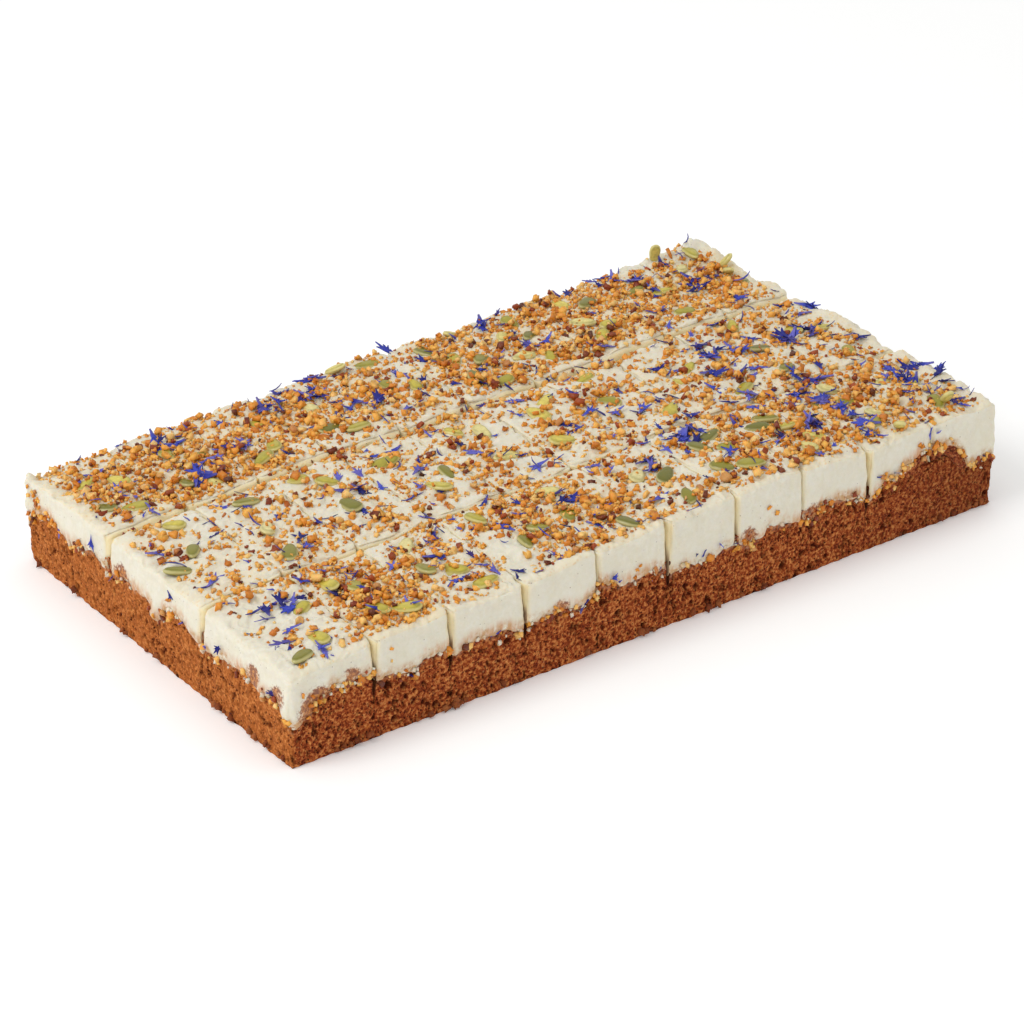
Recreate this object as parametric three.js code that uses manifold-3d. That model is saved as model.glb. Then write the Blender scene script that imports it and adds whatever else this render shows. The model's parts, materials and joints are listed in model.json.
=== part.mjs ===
// Carrot cake slab, cut into ten columns and three rows of slices.
// Each slice is a block of carrot sponge under its own block of cream cheese icing.
// Pumpkin seeds, petals and nut crumbs stand out of the icing.
// Millimetres. X runs along the slab, Y across it, Z up. The origin is under its middle.
import * as THREE from 'three';
import { mergeVertices } from 'three/addons/utils/BufferGeometryUtils.js';
import Module from 'manifold-3d';

// Slab
const slabLength = 400;
const slabWidth = 226;
const spongeHeight = 34;
const icingLevel = 51.5;
const icingRise = 0.029;
const icingTwist = 0.00004;

// Slices: the outer columns are a little longer than the ones between them
const columns = 10;
const rows = 3;
const sides = ['near', 'far', 'left', 'right'];
const endColumn = 43;
const rowCuts = [-43, 36];

// Cuts
const touchGap = 0.3;
const columnKerf = { foot: 0.5, top: 1.2 };
const rowKerf = { foot: 0.7, top: 3.2 };
const edgeRound = [3.4, 6.8];
const edgeDrop = 1.5;
const shoulderDrop = 4;

// Icing that was spread down over the outer faces
const lipDepth = 2.6;
const lipInset = 0.5;
const lipMean = 5;
const lipVary = 3;
const lipSteps = 4;
const lipLeast = 1;
const lipRoot = 2.5;
const cornerHang = 8;
const cornerHangReach = 13;
const outerWander = 0.5;
const outerLean = 0.8;

// Where the border of the hanging icing runs higher or lower: side, place, reach and rise
const borderTears = [
  { side: 'near', place: -170, reach: 9, rise: 4 },
  { side: 'near', place: -37, reach: 8, rise: 5 },
  { side: 'near', place: 46, reach: 7, rise: -5 },
  { side: 'near', place: 148, reach: 5, rise: 3.5 },
  { side: 'near', place: 161, reach: 7, rise: 9 },
  { side: 'left', place: -75, reach: 9, rise: 3.5 },
  { side: 'left', place: -6, reach: 4, rise: -6 },
  { side: 'left', place: 88, reach: 8, rise: 3 },
];

// Relief
const cragDepth = 1.1;
const cragShift = 50;
const spongeInset = 0.9;
const cornerSag = 4;
const cornerSwirl = 2.4;
const cornerSagReach = 16;
const rimSag = 1.6;
const rimReach = 14;

// Broad swells and dips in the icing: place, reach and rise
const swells = [
  { x: 60, y: -113, reach: 55, rise: 2.6 },
  { x: 0, y: -113, reach: 16, rise: 1.6 },
  { x: 155, y: 113, reach: 25, rise: 1.5 },
  { x: 199, y: 62, reach: 12, rise: -4 },
];

// Toppings
const seedLength = 12.8;
const seedWidth = 8.8;
const seedThickness = 3.2;
const seedNarrowing = 0.45;
const seedLie = { raised: 0.5, tilt: 0.25 };
const petalLength = 12;
const petalWidth = 3.4;
const petalThickness = 0.9;
const petalCurl = 2.2;
const petalRootWidth = 0.35;
const petalLie = { raised: -0.3, tilt: 0.1 };
const crumbSize = 3.6;
const crumbFlatness = 0.85;
const crumbLie = { raised: 0.6, tilt: 0.6 };
const seedsPerSlice = 3;
const petalsPerSlice = 2;
const crumbsPerSlice = 2;
const toppingMargin = 9;

// Where the seeds lie thicker: place, reach and how many more a slice gets
const seedDrifts = [
  { x: 60, y: 60, reach: 55, more: 2 },
  { x: 95, y: -75, reach: 45, more: 2 },
  { x: -150, y: 70, reach: 30, more: 1 },
  { x: -120, y: -70, reach: 35, more: 1 },
];

const wasm = await Module();
wasm.setup();

// Colours
const spongeMaterial = new THREE.MeshStandardMaterial({ color: 0x9a5226, roughness: 0.95, metalness: 0 });
const icingMaterial = new THREE.MeshStandardMaterial({ color: 0xece6d2, roughness: 0.5, metalness: 0 });

// Streams of draws, one for each use
const streams = { across: 1, along: 2, lip: 5, wander: 20, pitch: 31, roll: 32, turn: 33, size: 34, girth: 35 };

// A repeatable draw from 0 to 1
function draw(number, stream) {
  const value = Math.sin(number * 12.9898 + stream * 78.233) * 43758.5453;
  return value - Math.floor(value);
}

// The whole number-th point of an even spread over the unit square, started at a drawn place
function evenSpread(number, slice) {
  const across = (draw(slice, streams.across) + number * 0.7548776662) % 1;
  const along = (draw(slice, streams.along) + number * 0.569840291) % 1;
  return [across, along];
}

function columnEdge(column) {
  if (column === 0) return -slabLength / 2;
  if (column === columns) return slabLength / 2;
  const pitch = (slabLength - 2 * endColumn) / (columns - 2);
  return -slabLength / 2 + endColumn + pitch * (column - 1);
}

function rowEdge(row) {
  return [-slabWidth / 2, ...rowCuts, slabWidth / 2][row];
}

// The footprint of a slice, and which of its sides are on the outside of the slab
function sliceOf(column, row) {
  return {
    number: row * columns + column,
    low: [columnEdge(column), rowEdge(row)],
    high: [columnEdge(column + 1), rowEdge(row + 1)],
    outer: { left: column === 0, right: column === columns - 1, near: row === 0, far: row === rows - 1 },
  };
}

// How far in from the slab's rim a point lies
function rimDistance(x, y) {
  return Math.max(Math.min(slabLength / 2 - Math.abs(x), slabWidth / 2 - Math.abs(y)), 0);
}

// How far a point lies from the nearest of the slab's corners
function cornerDistance(x, y) {
  return Math.hypot(slabLength / 2 - Math.abs(x), slabWidth / 2 - Math.abs(y));
}

// The icing's upper surface: it rises to the right, waves where it was spread, and sags at the
// rim and at every corner but the far right one, which is swirled up
function icingTop(x, y) {
  const waves =
    0.7 * Math.sin(x * 0.062 + y * 0.021) +
    0.5 * Math.sin(y * 0.11 - x * 0.027 + 1.3) +
    0.35 * Math.sin(x * 0.17 + y * 0.09 + 0.4);
  const rim = rimSag * Math.exp(-rimDistance(x, y) / rimReach);
  const cornerDepth = x > 0 && y > 0 ? -cornerSwirl : cornerSag;
  const corner = cornerDepth * Math.exp(-cornerDistance(x, y) / cornerSagReach);
  const swell = swells.reduce((sum, { x: cx, y: cy, reach, rise }) => {
    return sum + rise * Math.exp(-((Math.hypot(x - cx, y - cy) / reach) ** 2));
  }, 0);
  return icingLevel + icingRise * x + icingTwist * x * y + waves + swell - rim - corner;
}

// Crags on the outer faces of the sponge, from 0 to cragDepth
function crag(along, height) {
  const coarse = Math.sin(along * 0.17 - height * 0.51 + 2);
  const middle = Math.sin(along * 0.41 + height * 0.23);
  const fine = Math.sin(along * 0.93 + 4);
  return cragDepth * (0.5 + (coarse + middle + fine) / 6);
}

// A geometry with its shared corners merged, and only its positions kept
function mergedByPosition(geometry) {
  geometry.deleteAttribute('normal');
  geometry.deleteAttribute('uv');
  return mergeVertices(geometry, 1e-4);
}

// A closed three.js geometry as a solid
function toSolid(geometry) {
  const merged = mergedByPosition(geometry);
  const mesh = new wasm.Mesh({
    numProp: 3,
    vertProperties: new Float32Array(merged.attributes.position.array),
    triVerts: new Uint32Array(merged.index.array),
  });
  return new wasm.Manifold(mesh);
}

// A solid as a named mesh
function toMesh(solid, name, material) {
  const result = solid.getMesh();
  const geometry = new THREE.BufferGeometry();
  geometry.setAttribute('position', new THREE.BufferAttribute(result.vertProperties, 3));
  geometry.setIndex(new THREE.BufferAttribute(result.triVerts, 1));
  geometry.computeVertexNormals();
  const mesh = new THREE.Mesh(geometry, material);
  mesh.name = name;
  return mesh;
}

function joined(solids) {
  return solids.reduce((whole, piece) => whole.add(piece));
}

// Moves every point of a geometry to the place that a function gives for it
function reshape(geometry, place) {
  const points = geometry.attributes.position;
  for (let i = 0; i < points.count; i += 1) {
    const [x, y, z] = place(points.getX(i), points.getY(i), points.getZ(i));
    points.setXYZ(i, x, y, z);
  }
  return geometry;
}

// A grid line number, -0.5 to 0.5 over a unit box, drawn towards the two ends of a side
function towardsEnds(value, length, inset) {
  const lines = [-0.5, -0.5 + inset / length, 0.5 - inset / length, 0.5];
  const third = Math.round((value + 0.5) * 3);
  return lines[third];
}

// Turns every face of an indexed geometry round
function turnedRound(geometry) {
  const index = geometry.index.array;
  for (let i = 0; i < index.length; i += 3) {
    [index[i], index[i + 1]] = [index[i + 1], index[i]];
  }
  return geometry;
}

// How much higher the border of the hanging icing runs at a place on one side
function tearRise(side, place) {
  return borderTears
    .filter((tear) => tear.side === side)
    .reduce((sum, tear) => sum + tear.rise * Math.exp(-(((place - tear.place) / tear.reach) ** 2)), 0);
}

// The ragged strip of icing that hangs over one outer face, grown all round by a clearance
function lip(slice, side, clearance) {
  const alongX = side === 'near' || side === 'far';
  const axis = alongX ? 0 : 1;
  const halfLength = (alongX ? slabLength : slabWidth) / 2;
  const start = slice.low[axis] + columnKerf.foot - clearance;
  const end = slice.high[axis] - columnKerf.foot + clearance;
  const stream = streams.lip + sides.indexOf(side);
  const outline = new THREE.Shape();
  outline.moveTo(start, spongeHeight + lipRoot);
  for (let step = 0; step <= lipSteps; step += 1) {
    const place = start + ((end - start) * step) / lipSteps;
    const vary = lipVary * (2 * draw(slice.number * 10 + step, stream) - 1);
    const corner = cornerHang * Math.exp(-(halfLength - Math.abs(place)) / cornerHangReach);
    const hang = Math.max(lipMean + vary + corner - tearRise(side, place), lipLeast);
    outline.lineTo(place, spongeHeight - hang - clearance);
  }
  outline.lineTo(end, spongeHeight + lipRoot);
  const depth = lipDepth + 2 * clearance;
  const strip = new THREE.ExtrudeGeometry(outline, { depth, bevelEnabled: false, steps: 1 });
  const reach = (alongX ? slabWidth : slabLength) / 2 - lipInset + clearance;
  const outward = side === 'near' || side === 'left' ? -1 : 1;
  reshape(strip, (along, height, inward) => {
    const across = outward * (reach - inward);
    return alongX ? [along, across, height] : [across, along, height];
  });
  // The near and right sides come out mirrored
  const closed = mergedByPosition(strip);
  return toSolid(side === 'near' || side === 'right' ? turnedRound(closed) : closed);
}

function lipsOf(slice, clearance) {
  return sides.filter((side) => slice.outer[side]).map((side) => lip(slice, side, clearance));
}

// The block of sponge under one slice, with crags where it is on the outside
function sponge(slice) {
  const { low, high, outer } = slice;
  const stepsX = outer.near || outer.far ? 3 : 1;
  const stepsY = outer.left || outer.right ? 5 : 1;
  const stepsZ = stepsX + stepsY > 2 ? 2 : 1;
  const block = new THREE.BoxGeometry(1, 1, 1, stepsX, stepsY, stepsZ);
  reshape(block, (x, y, z) => {
    const height = (z + 0.5) * spongeHeight;
    let px = low[0] + touchGap / 2 + (x + 0.5) * (high[0] - low[0] - touchGap);
    let py = low[1] + touchGap / 2 + (y + 0.5) * (high[1] - low[1] - touchGap);
    if (outer.left && x === -0.5) px = low[0] + spongeInset + crag(py, height);
    if (outer.right && x === 0.5) px = high[0] - spongeInset - crag(py + cragShift, height);
    if (outer.near && y === -0.5) py = low[1] + spongeInset + crag(px, height);
    if (outer.far && y === 0.5) py = high[1] - spongeInset - crag(px + cragShift, height);
    return [px, py, height];
  });
  return lipsOf(slice, touchGap).reduce((rest, piece) => rest.subtract(piece), toSolid(block));
}

// How far a side of the icing stands in from the slice's own edge, at the foot, shoulder or top
function sideInset(slice, axis, isOuter, level) {
  const kerf = [columnKerf, rowKerf][axis];
  if (!isOuter) return (level === 2 ? kerf.top : kerf.foot) / 2;
  return outerWander * draw(slice.number * 4 + axis, streams.wander) + (level > 0 ? outerLean : 0);
}

// The block of icing on one slice: an upright foot, a shoulder, and a soft edge round the top
function icingBlock(slice) {
  const { low, high, outer } = slice;
  const isOuter = [
    [outer.left, outer.right],
    [outer.near, outer.far],
  ];
  return reshape(new THREE.BoxGeometry(1, 1, 1, 3, 3, 2), (x, y, z) => {
    const unit = [x, y];
    const level = Math.round((z + 0.5) * 2);
    const edges = unit.filter((value) => Math.abs(value) === 0.5).length;
    const point = unit.map((value, axis) => {
      const size = high[axis] - low[axis];
      const place = low[axis] + (towardsEnds(value, size, edgeRound[axis]) + 0.5) * size;
      if (Math.abs(value) < 0.5) return place;
      const end = value < 0 ? 0 : 1;
      const inset = sideInset(slice, axis, isOuter[axis][end], level);
      return end === 0 ? place + inset : place - inset;
    });
    const top = icingTop(...point) - edges * edgeDrop;
    const heights = [spongeHeight + touchGap, top - (edges > 0 ? shoulderDrop : 0), top];
    return [...point, heights[level]];
  });
}

// A place on top of a slice's icing block, from the unit square
function placeOnTop(slice, block, [across, along]) {
  const x = slice.low[0] + toppingMargin + across * (slice.high[0] - slice.low[0] - 2 * toppingMargin);
  const y = slice.low[1] + toppingMargin + along * (slice.high[1] - slice.low[1] - 2 * toppingMargin);
  const plumb = new THREE.Raycaster(new THREE.Vector3(x, y, 2 * icingLevel), new THREE.Vector3(0, 0, -1));
  return plumb.intersectObject(block)[0].point;
}

// The key that a topping's own draws start from
function keyOf(slice, number) {
  return slice.number * 40 + number;
}

// Lays a piece on the icing, turned and tilted a little, with its middle raised above the surface
function laid(geometry, slice, block, number, lie) {
  const place = placeOnTop(slice, block, evenSpread(number, slice.number));
  const key = keyOf(slice, number);
  geometry.rotateY(lie.tilt * (2 * draw(key, streams.pitch) - 1));
  geometry.rotateX(lie.tilt * (2 * draw(key, streams.roll) - 1));
  geometry.rotateZ(2 * Math.PI * draw(key, streams.turn));
  geometry.translate(place.x, place.y, place.z + lie.raised);
  return toSolid(geometry);
}

// A pumpkin seed: a flat drop with one blunt and one pointed end
function seed(slice, block, number) {
  const size = 0.85 + 0.3 * draw(keyOf(slice, number), streams.size);
  const ball = new THREE.SphereGeometry(0.5, 6, 3);
  ball.rotateX(Math.PI / 2);
  reshape(ball, (x, y, z) => {
    const narrowing = 1 - seedNarrowing * (x + 0.5);
    return [x * seedLength * size, y * seedWidth * size * narrowing, z * seedThickness];
  });
  return laid(ball, slice, block, number, seedLie);
}

// A petal: a thin strip that widens and curls up towards its tip
function petal(slice, block, number) {
  const strip = new THREE.BoxGeometry(petalLength, petalWidth, petalThickness, 3, 1, 1);
  reshape(strip, (x, y, z) => {
    const outward = x / petalLength + 0.5;
    const widening = petalRootWidth + (1 - petalRootWidth) * outward;
    return [x, y * widening, z + petalCurl * outward * outward];
  });
  return laid(strip, slice, block, number, petalLie);
}

// A nut crumb: a small rough lump
function crumb(slice, block, number) {
  const lump = new THREE.OctahedronGeometry(crumbSize / 2, 0);
  lump.scale(1, 0.8 + 0.3 * draw(keyOf(slice, number), streams.girth), crumbFlatness);
  return laid(lump, slice, block, number, crumbLie);
}

// How many seeds a slice gets, by the drifts near its middle
function seedCount(slice) {
  const x = (slice.low[0] + slice.high[0]) / 2;
  const y = (slice.low[1] + slice.high[1]) / 2;
  const near = seedDrifts.filter((drift) => Math.hypot(drift.x - x, drift.y - y) < drift.reach);
  return seedsPerSlice + near.reduce((sum, drift) => sum + drift.more, 0);
}

function toppings(slice, block) {
  const seeds = seedCount(slice);
  const petals = seeds + petalsPerSlice;
  const total = petals + crumbsPerSlice;
  const pieces = [];
  for (let number = 0; number < total; number += 1) {
    if (number < seeds) pieces.push(seed(slice, block, number));
    else if (number < petals) pieces.push(petal(slice, block, number));
    else pieces.push(crumb(slice, block, number));
  }
  return pieces;
}

function icing(slice) {
  const block = icingBlock(slice);
  const laidOn = toppings(slice, new THREE.Mesh(block));
  return joined([toSolid(block), ...lipsOf(slice, 0), ...laidOn]);
}

const cake = new THREE.Group();
for (let row = 0; row < rows; row += 1) {
  for (let column = 0; column < columns; column += 1) {
    const slice = sliceOf(column, row);
    const place = `${row + 1}_${column + 1}`;
    cake.add(toMesh(sponge(slice), `sponge_${place}`, spongeMaterial));
    cake.add(toMesh(icing(slice), `icing_${place}`, icingMaterial));
  }
}

export default cake;
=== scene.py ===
import json
import math

import bpy
import numpy as np
from mathutils import Euler, Matrix, Vector
from mathutils.bvhtree import BVHTree

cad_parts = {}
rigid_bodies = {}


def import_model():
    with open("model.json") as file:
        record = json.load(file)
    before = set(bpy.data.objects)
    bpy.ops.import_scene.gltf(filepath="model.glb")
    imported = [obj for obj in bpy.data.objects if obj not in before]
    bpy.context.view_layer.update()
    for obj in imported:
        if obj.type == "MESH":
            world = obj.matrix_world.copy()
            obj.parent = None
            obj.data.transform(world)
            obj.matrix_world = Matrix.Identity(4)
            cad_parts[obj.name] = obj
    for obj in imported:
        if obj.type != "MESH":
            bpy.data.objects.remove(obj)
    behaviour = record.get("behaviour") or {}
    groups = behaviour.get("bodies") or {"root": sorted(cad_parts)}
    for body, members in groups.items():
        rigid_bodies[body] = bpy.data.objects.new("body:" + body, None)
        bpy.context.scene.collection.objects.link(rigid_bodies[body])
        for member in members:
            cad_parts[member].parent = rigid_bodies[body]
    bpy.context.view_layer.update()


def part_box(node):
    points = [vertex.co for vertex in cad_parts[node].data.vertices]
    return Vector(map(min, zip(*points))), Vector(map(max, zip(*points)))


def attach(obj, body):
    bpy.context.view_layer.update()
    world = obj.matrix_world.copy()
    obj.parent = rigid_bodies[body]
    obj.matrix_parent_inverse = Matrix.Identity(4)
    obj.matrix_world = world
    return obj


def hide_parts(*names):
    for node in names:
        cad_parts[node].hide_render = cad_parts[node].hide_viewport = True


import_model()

MM = 0.001


def records(fields, entries):
    """Entries of values as records with named fields."""
    return [dict(zip(fields.split(), entry)) for entry in entries]


# Slab, as the solids have it
slab_length = 400
slab_width = 226
columns = 10
rows = 3
sponge_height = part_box("sponge_2_5")[1].z / MM
icing_level = 51.5
icing_rise = 0.029
icing_twist = 0.00004
touch_gap = 0.3

# Broad forms of the icing's top, as the solids have them
corner_sag = 4
corner_swirl = 2.4
corner_sag_reach = 16
rim_sag = 1.6
rim_reach = 14
swells = records("x y reach rise", [
    (60, -113, 55, 2.6), (0, -113, 16, 1.6), (155, 113, 25, 1.5), (199, 62, 12, -4),
])

# Peaks and dents where the spatula was lifted
ridge_height = 2.1
swirls = records("x y reach rise", [
    (189, 107, 4, 5.2), (183, 103, 5, 2), (192, 91, 4, 3.8), (177, 97, 6, -1.8), (160, 107, 4, 2.6),
    (148, 107, 6, 1.8), (192, -106, 5, 1.6), (193, -14, 8, 1.5), (187, -26, 5, -1.3), (192, -48, 7, 1.4),
    (186, 20, 7, 1.4), (194, 40, 6, -1.4), (-199, 110, 4, 4.2), (-192, 106, 4, -1.8), (-198, 99, 3, -1.6),
    (-197, 92, 5, 1.4), (197, 2, 9, 1.6), (186, 3, 7, -1.2), (197, -84, 9, 1.2), (120, 110, 7, 1.3),
    (84, 108, 8, 1.2), (36, 109, 8, -1.2),
])

# Cuts
column_kerf = {"foot": 0.08, "top": 0.6, "depth": 3, "edge": 2.4, "drop": 0.9}
row_kerfs = {
    -43: {"foot": 0.3, "top": 2.0, "depth": 6, "edge": 4.2, "drop": 1.7},
    36: {"foot": 0.4, "top": 4.2, "depth": 10, "edge": 5.2, "drop": 2.8},
}
gapes = {
    -157: 2.6, -118: 3.0, -78: 2.4, -39: 0.25, 0: 3.2, 39: 0.55, 78: 0.15, 118: 3.0, 157: 0.1,
    -43: 0.9, 36: 0.8,
}
gape_foot = 0.06
gape_reach = 4.5
outer_edge = {"edge": 3.2, "drop": 2.5}
cut_wander = 0.6
cut_pull = 8
wall_tint = 0.35
wall_tint_reach = 2.6
wall_relief = 0.35
jag_depth = 0.35

# Icing over the outer faces
lip_depth = 2.6
lip_mean = 5
lip_vary = 3
lip_steps = 4
lip_inset = 0.45
corner_hang = 8
corner_hang_reach = 13
outer_lean = 0.8
border_taper = 2.4
border_proud = 0.55
crust_recess = 0.7
shoulder = 4
ragged = records("pitch height", [(13, 2.1), (5.2, 1.1), (1.9, 0.5)])

# Worn places on the outer faces, each by its side and its place along it: hollows and lumps in the
# skirt, rusty stains, domes of bare sponge, and stretches where the border runs higher or lower
hollows = records("side along height reach depth", [
    ("left", 111, 41, 3.0, -1.6), ("left", 110, 30, 3.4, -1.2), ("left", 104, 34, 3.6, 2.4),
    ("left", 100, 39, 3.0, 1.5), ("left", 93, 31, 3.4, 1.3), ("left", -8, 27, 3.2, 2.0),
    ("left", -60, 33, 3.0, 1.0), ("left", -4, 25, 3.4, -1.6), ("left", -110, 26, 4.0, -1.2),
    ("near", -196, 25, 4.0, -1.2), ("near", 161, 37, 6.0, 1.6), ("near", 152, 33, 4.0, 1.2),
    ("near", -36, 33, 5.0, 1.2), ("near", 84, 31, 5.0, 1.4), ("near", 47, 31, 3.2, 1.5),
    ("near", 54, 28, 3.0, -1.3),
])
stains = records("side along height reach", [
    ("near", -191, 26, 5), ("near", -185, 30, 6), ("near", -168, 35, 4), ("near", -60, 30, 4.5),
    ("near", 46, 31, 5), ("near", 84, 31, 5), ("left", -104, 32, 5), ("left", -85, 33, 5),
    ("left", 24, 31, 6),
])
crusts = records("side along reach height", [
    ("near", 156, 31, 41), ("near", 92, 9, 32), ("near", -32, 9, 32), ("far", 70, 20, 36),
])
border_tears = records("side along reach rise", [
    ("near", -195, 9, -5.5), ("left", -111, 10, -3.5), ("left", 112, 6, -3), ("near", 161, 7, 9),
    ("near", 148, 5, 3.5), ("near", 46, 7, -5), ("near", -37, 8, 5), ("near", -170, 9, 4),
    ("left", 88, 8, 3), ("left", -6, 4, -6), ("left", -75, 9, 3.5),
])

# Outer faces of the sponge
sponge_inset = 0.9
sponge_edge = 0.9
crag_depth = 1.1
crag_shift = 50
crack_share = 0.5
crack_foot = 15
crack_reach = 5

# Where the crumbs lie thick and thin: middle, reach along and across, and share more or less
crumb_count = 6300
fine_count = 8800
dark_share = 0.12
swept_cuts = records("y reach share", [(37.5, 3.2, 0.75), (-42.5, 2.2, 0.5)])
crumb_drifts = records("x y reach more", [
    (-140, 67, (52, 30), 1.3), (110, 75, (90, 34), 1.1), (-55, 80, (36, 24), 1.1),
    (-140, -79, (18, 34), 1.4), (-31, -76, (30, 32), 1.0), (120, -75, (60, 34), 0.9),
    (-182, -79, (20, 34), -0.8), (-68, -92, (9, 16), -1.2), (-120, 0, (70, 36), -0.3),
    (190, 106, (8, 7), -1.0), (152, 108, (12, 4.5), -2.2),
])

# Grid steps of the meshes, and how their lines crowd at the edges
fine_step = 0.66
unseen_step = 1.1
top_step = 1.2
plain_step = 9
edge_lines = [0, 0.2, 0.5, 0.9, 1.5, 2.2, 3.2, 4.6]
drop_lines = [0, 0.2, 0.45, 0.8, 1.3, 2.0, 2.8]
sponge_lines = [0, 0.3, 0.7]
skirt_depth = 22
wall_depth = 17

# A point this near to a side lies on it, and a height this large stands for no border near
touching = 0.01
far_off = 99.0

sides = ["near", "far", "left", "right"]
side_places = {"near": (1, 0), "far": (1, 1), "left": (0, 0), "right": (0, 1)}

# What sticks to the outer faces: kind, millimetres of border for each, size, and spread in height.
# Clusters are at a side and a place along it, pressed crumbs at a height too, and each ends in a count.
border_strewing = [
    ("fleck", 4.5, 1.8, 1.6),
    ("crumb", 6, 2.6, 1.5),
    ("dark", 30, 2.4, 1.5),
    ("bit", 9, 2.6, 0),
]
cluster_scatter = 4.5
cluster_dark_share = 0.16
border_clusters = [
    ("near", -186, 10), ("near", -170, 9), ("near", -64, 12), ("near", -34, 9), ("near", 47, 12),
    ("near", 85, 9), ("near", 122, 9), ("near", 138, 14), ("near", 160, 12), ("near", 182, 10),
    ("near", 196, 8), ("left", 106, 6), ("left", 92, 10), ("left", 66, 8), ("left", -104, 9),
    ("right", -105, 8), ("left", -8, 5), ("far", -60, 8), ("far", 80, 8), ("right", 20, 6),
]
press_scatter = (3, 2.5)
pressed_crumbs = [
    ("left", 107, 40, 8), ("left", 98, 36, 3), ("left", -20, 38, 2), ("near", -189, 32, 4),
    ("near", -150, 38, 2), ("near", -18, 37, 3), ("near", 60, 40, 2), ("near", 128, 38, 4),
    ("near", 152, 46, 3),
]
streams = {"across": 1, "along": 2, "lip": 5, "pitch": 31, "roll": 32, "turn": 33, "size": 34}


def draw(number, stream):
    """A repeatable draw from 0 to 1, the same one that places the solids' own toppings."""
    value = np.sin(np.asarray(number) * 12.9898 + stream * 78.233) * 43758.5453
    return value - np.floor(value)


def ripple(place, pitch, stream):
    """Smooth random wave from -1 to 1 along a line, with a new value at each pitch."""
    step = np.asarray(place) / pitch
    cell = np.floor(step)
    share = step - cell
    share = share * share * (3 - 2 * share)
    return 2 * ((1 - share) * draw(cell, stream) + share * draw(cell + 1, stream)) - 1


def smooth(value, low, high):
    """0 below low, 1 above high, and a soft step between."""
    share = np.clip((value - low) / (high - low), 0, 1)
    return share * share * (3 - 2 * share)


def colour(code):
    """A web colour as linear red, green, blue and alpha."""
    shares = [int(code[i:i + 2], 16) / 255 for i in (1, 3, 5)]
    return [s / 12.92 if s <= 0.04045 else ((s + 0.055) / 1.055) ** 2.4 for s in shares] + [1]


# Slices

def cut_edges(axis, count, name):
    """Outer edges and cuts along one axis, from the gaps between neighbouring solids."""
    half = (slab_length, slab_width)[axis] / 2
    cuts = [
        (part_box(name(i))[1][axis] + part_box(name(i + 1))[0][axis]) / 2 / MM for i in range(1, count)
    ]
    return [-half, *cuts, half]


column_edges = cut_edges(0, columns, lambda i: f"sponge_2_{i}")
row_edges = cut_edges(1, rows, lambda i: f"sponge_{i}_5")


def portion(row, column):
    """Footprint of one slice, and which of its sides are on the outside of the slab."""
    return {
        "number": row * columns + column,
        "place": f"{row + 1}_{column + 1}",
        "low": (column_edges[column], row_edges[row]),
        "high": (column_edges[column + 1], row_edges[row + 1]),
        "outer": ((column == 0, column == columns - 1), (row == 0, row == rows - 1)),
    }


def side_name(axis, end):
    return (("left", "right"), ("near", "far"))[axis][end]


def shell_of(lines):
    """Closed box shell over three sets of grid lines: its points and its faces."""
    counts = [len(line) for line in lines]
    code = np.arange(math.prod(counts)).reshape(counts)
    faces = []
    for axis in range(3):
        for end in (0, 1):
            sheet = code.take(-end, axis)
            ring = [sheet[:-1, :-1], sheet[1:, :-1], sheet[1:, 1:], sheet[:-1, 1:]]
            quads = np.stack(ring, -1).reshape(-1, 4)
            points_out = (end == 1) != (axis == 1)
            faces.append(quads if points_out else quads[:, ::-1])
    used, flat = np.unique(np.concatenate(faces), return_inverse=True)
    steps = np.unravel_index(used, counts)
    points = np.stack([np.asarray(line)[step] for line, step in zip(lines, steps)], -1)
    return points, flat.reshape(-1, 4)


def lines_between(low, high, ends, step):
    """Grid lines from low to high, close together at both ends and about a step apart between."""
    ends = np.asarray(ends)
    count = max(1, round((high - low - 2 * ends[-1]) / step))
    middle = np.linspace(low + ends[-1], high - ends[-1], count + 1)
    return np.concatenate([low + ends[:-1], middle, (high - ends[:-1])[::-1]])


def rounded(points, low, high, widths):
    """Rounds a box's edges. Returns the outward direction and the shift of each point.
    widths[axis][end] is how far the soft edge reaches in from that side, and 0 leaves it sharp."""
    zone = np.zeros(points.shape)
    side = np.zeros(points.shape)
    reach = np.ones(points.shape)
    for axis in range(3):
        to_low = points[:, axis] - low[axis]
        to_high = high[axis] - points[:, axis]
        nearer_high = to_high < to_low
        width = np.where(nearer_high, widths[axis][1], widths[axis][0])
        reach[:, axis] = np.maximum(width, 1e-6)
        zone[:, axis] = np.clip(1 - np.minimum(to_low, to_high) / reach[:, axis], 0, 1) * (width > 0)
        side[:, axis] = np.where(nearer_high, 1, -1)
    length = np.maximum(np.linalg.norm(zone, axis=1), 1e-9)
    soft = zone * (zone.max(1) / length)[:, None]
    return side * soft, -side * (zone - soft) * reach


def piece_from(name, points, faces, values=None):
    """New mesh object from points in millimetres, with point attributes."""
    mesh = bpy.data.meshes.new(name)
    mesh.vertices.add(len(points))
    mesh.vertices.foreach_set("co", (np.asarray(points) * MM).astype(np.float32).ravel())
    if len(faces):
        mesh.loops.add(faces.size)
        mesh.loops.foreach_set("vertex_index", faces.astype(np.int32).ravel())
        mesh.polygons.add(len(faces))
        mesh.polygons.foreach_set("loop_start", np.arange(0, faces.size, 4, dtype=np.int32))
    for key, value in (values or {}).items():
        value = np.asarray(value, np.float32)
        kind, field = ("FLOAT_VECTOR", "vector") if value.ndim == 2 else ("FLOAT", "value")
        mesh.attributes.new(key, kind, "POINT").data.foreach_set(field, value.ravel())
    mesh.update()
    mesh.validate()
    piece = bpy.data.objects.new(name, mesh)
    bpy.context.scene.collection.objects.link(piece)
    return piece


def mound(distance, reach):
    """A soft bump, 1 at its middle."""
    return np.exp(-((distance / reach) ** 2))


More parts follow.
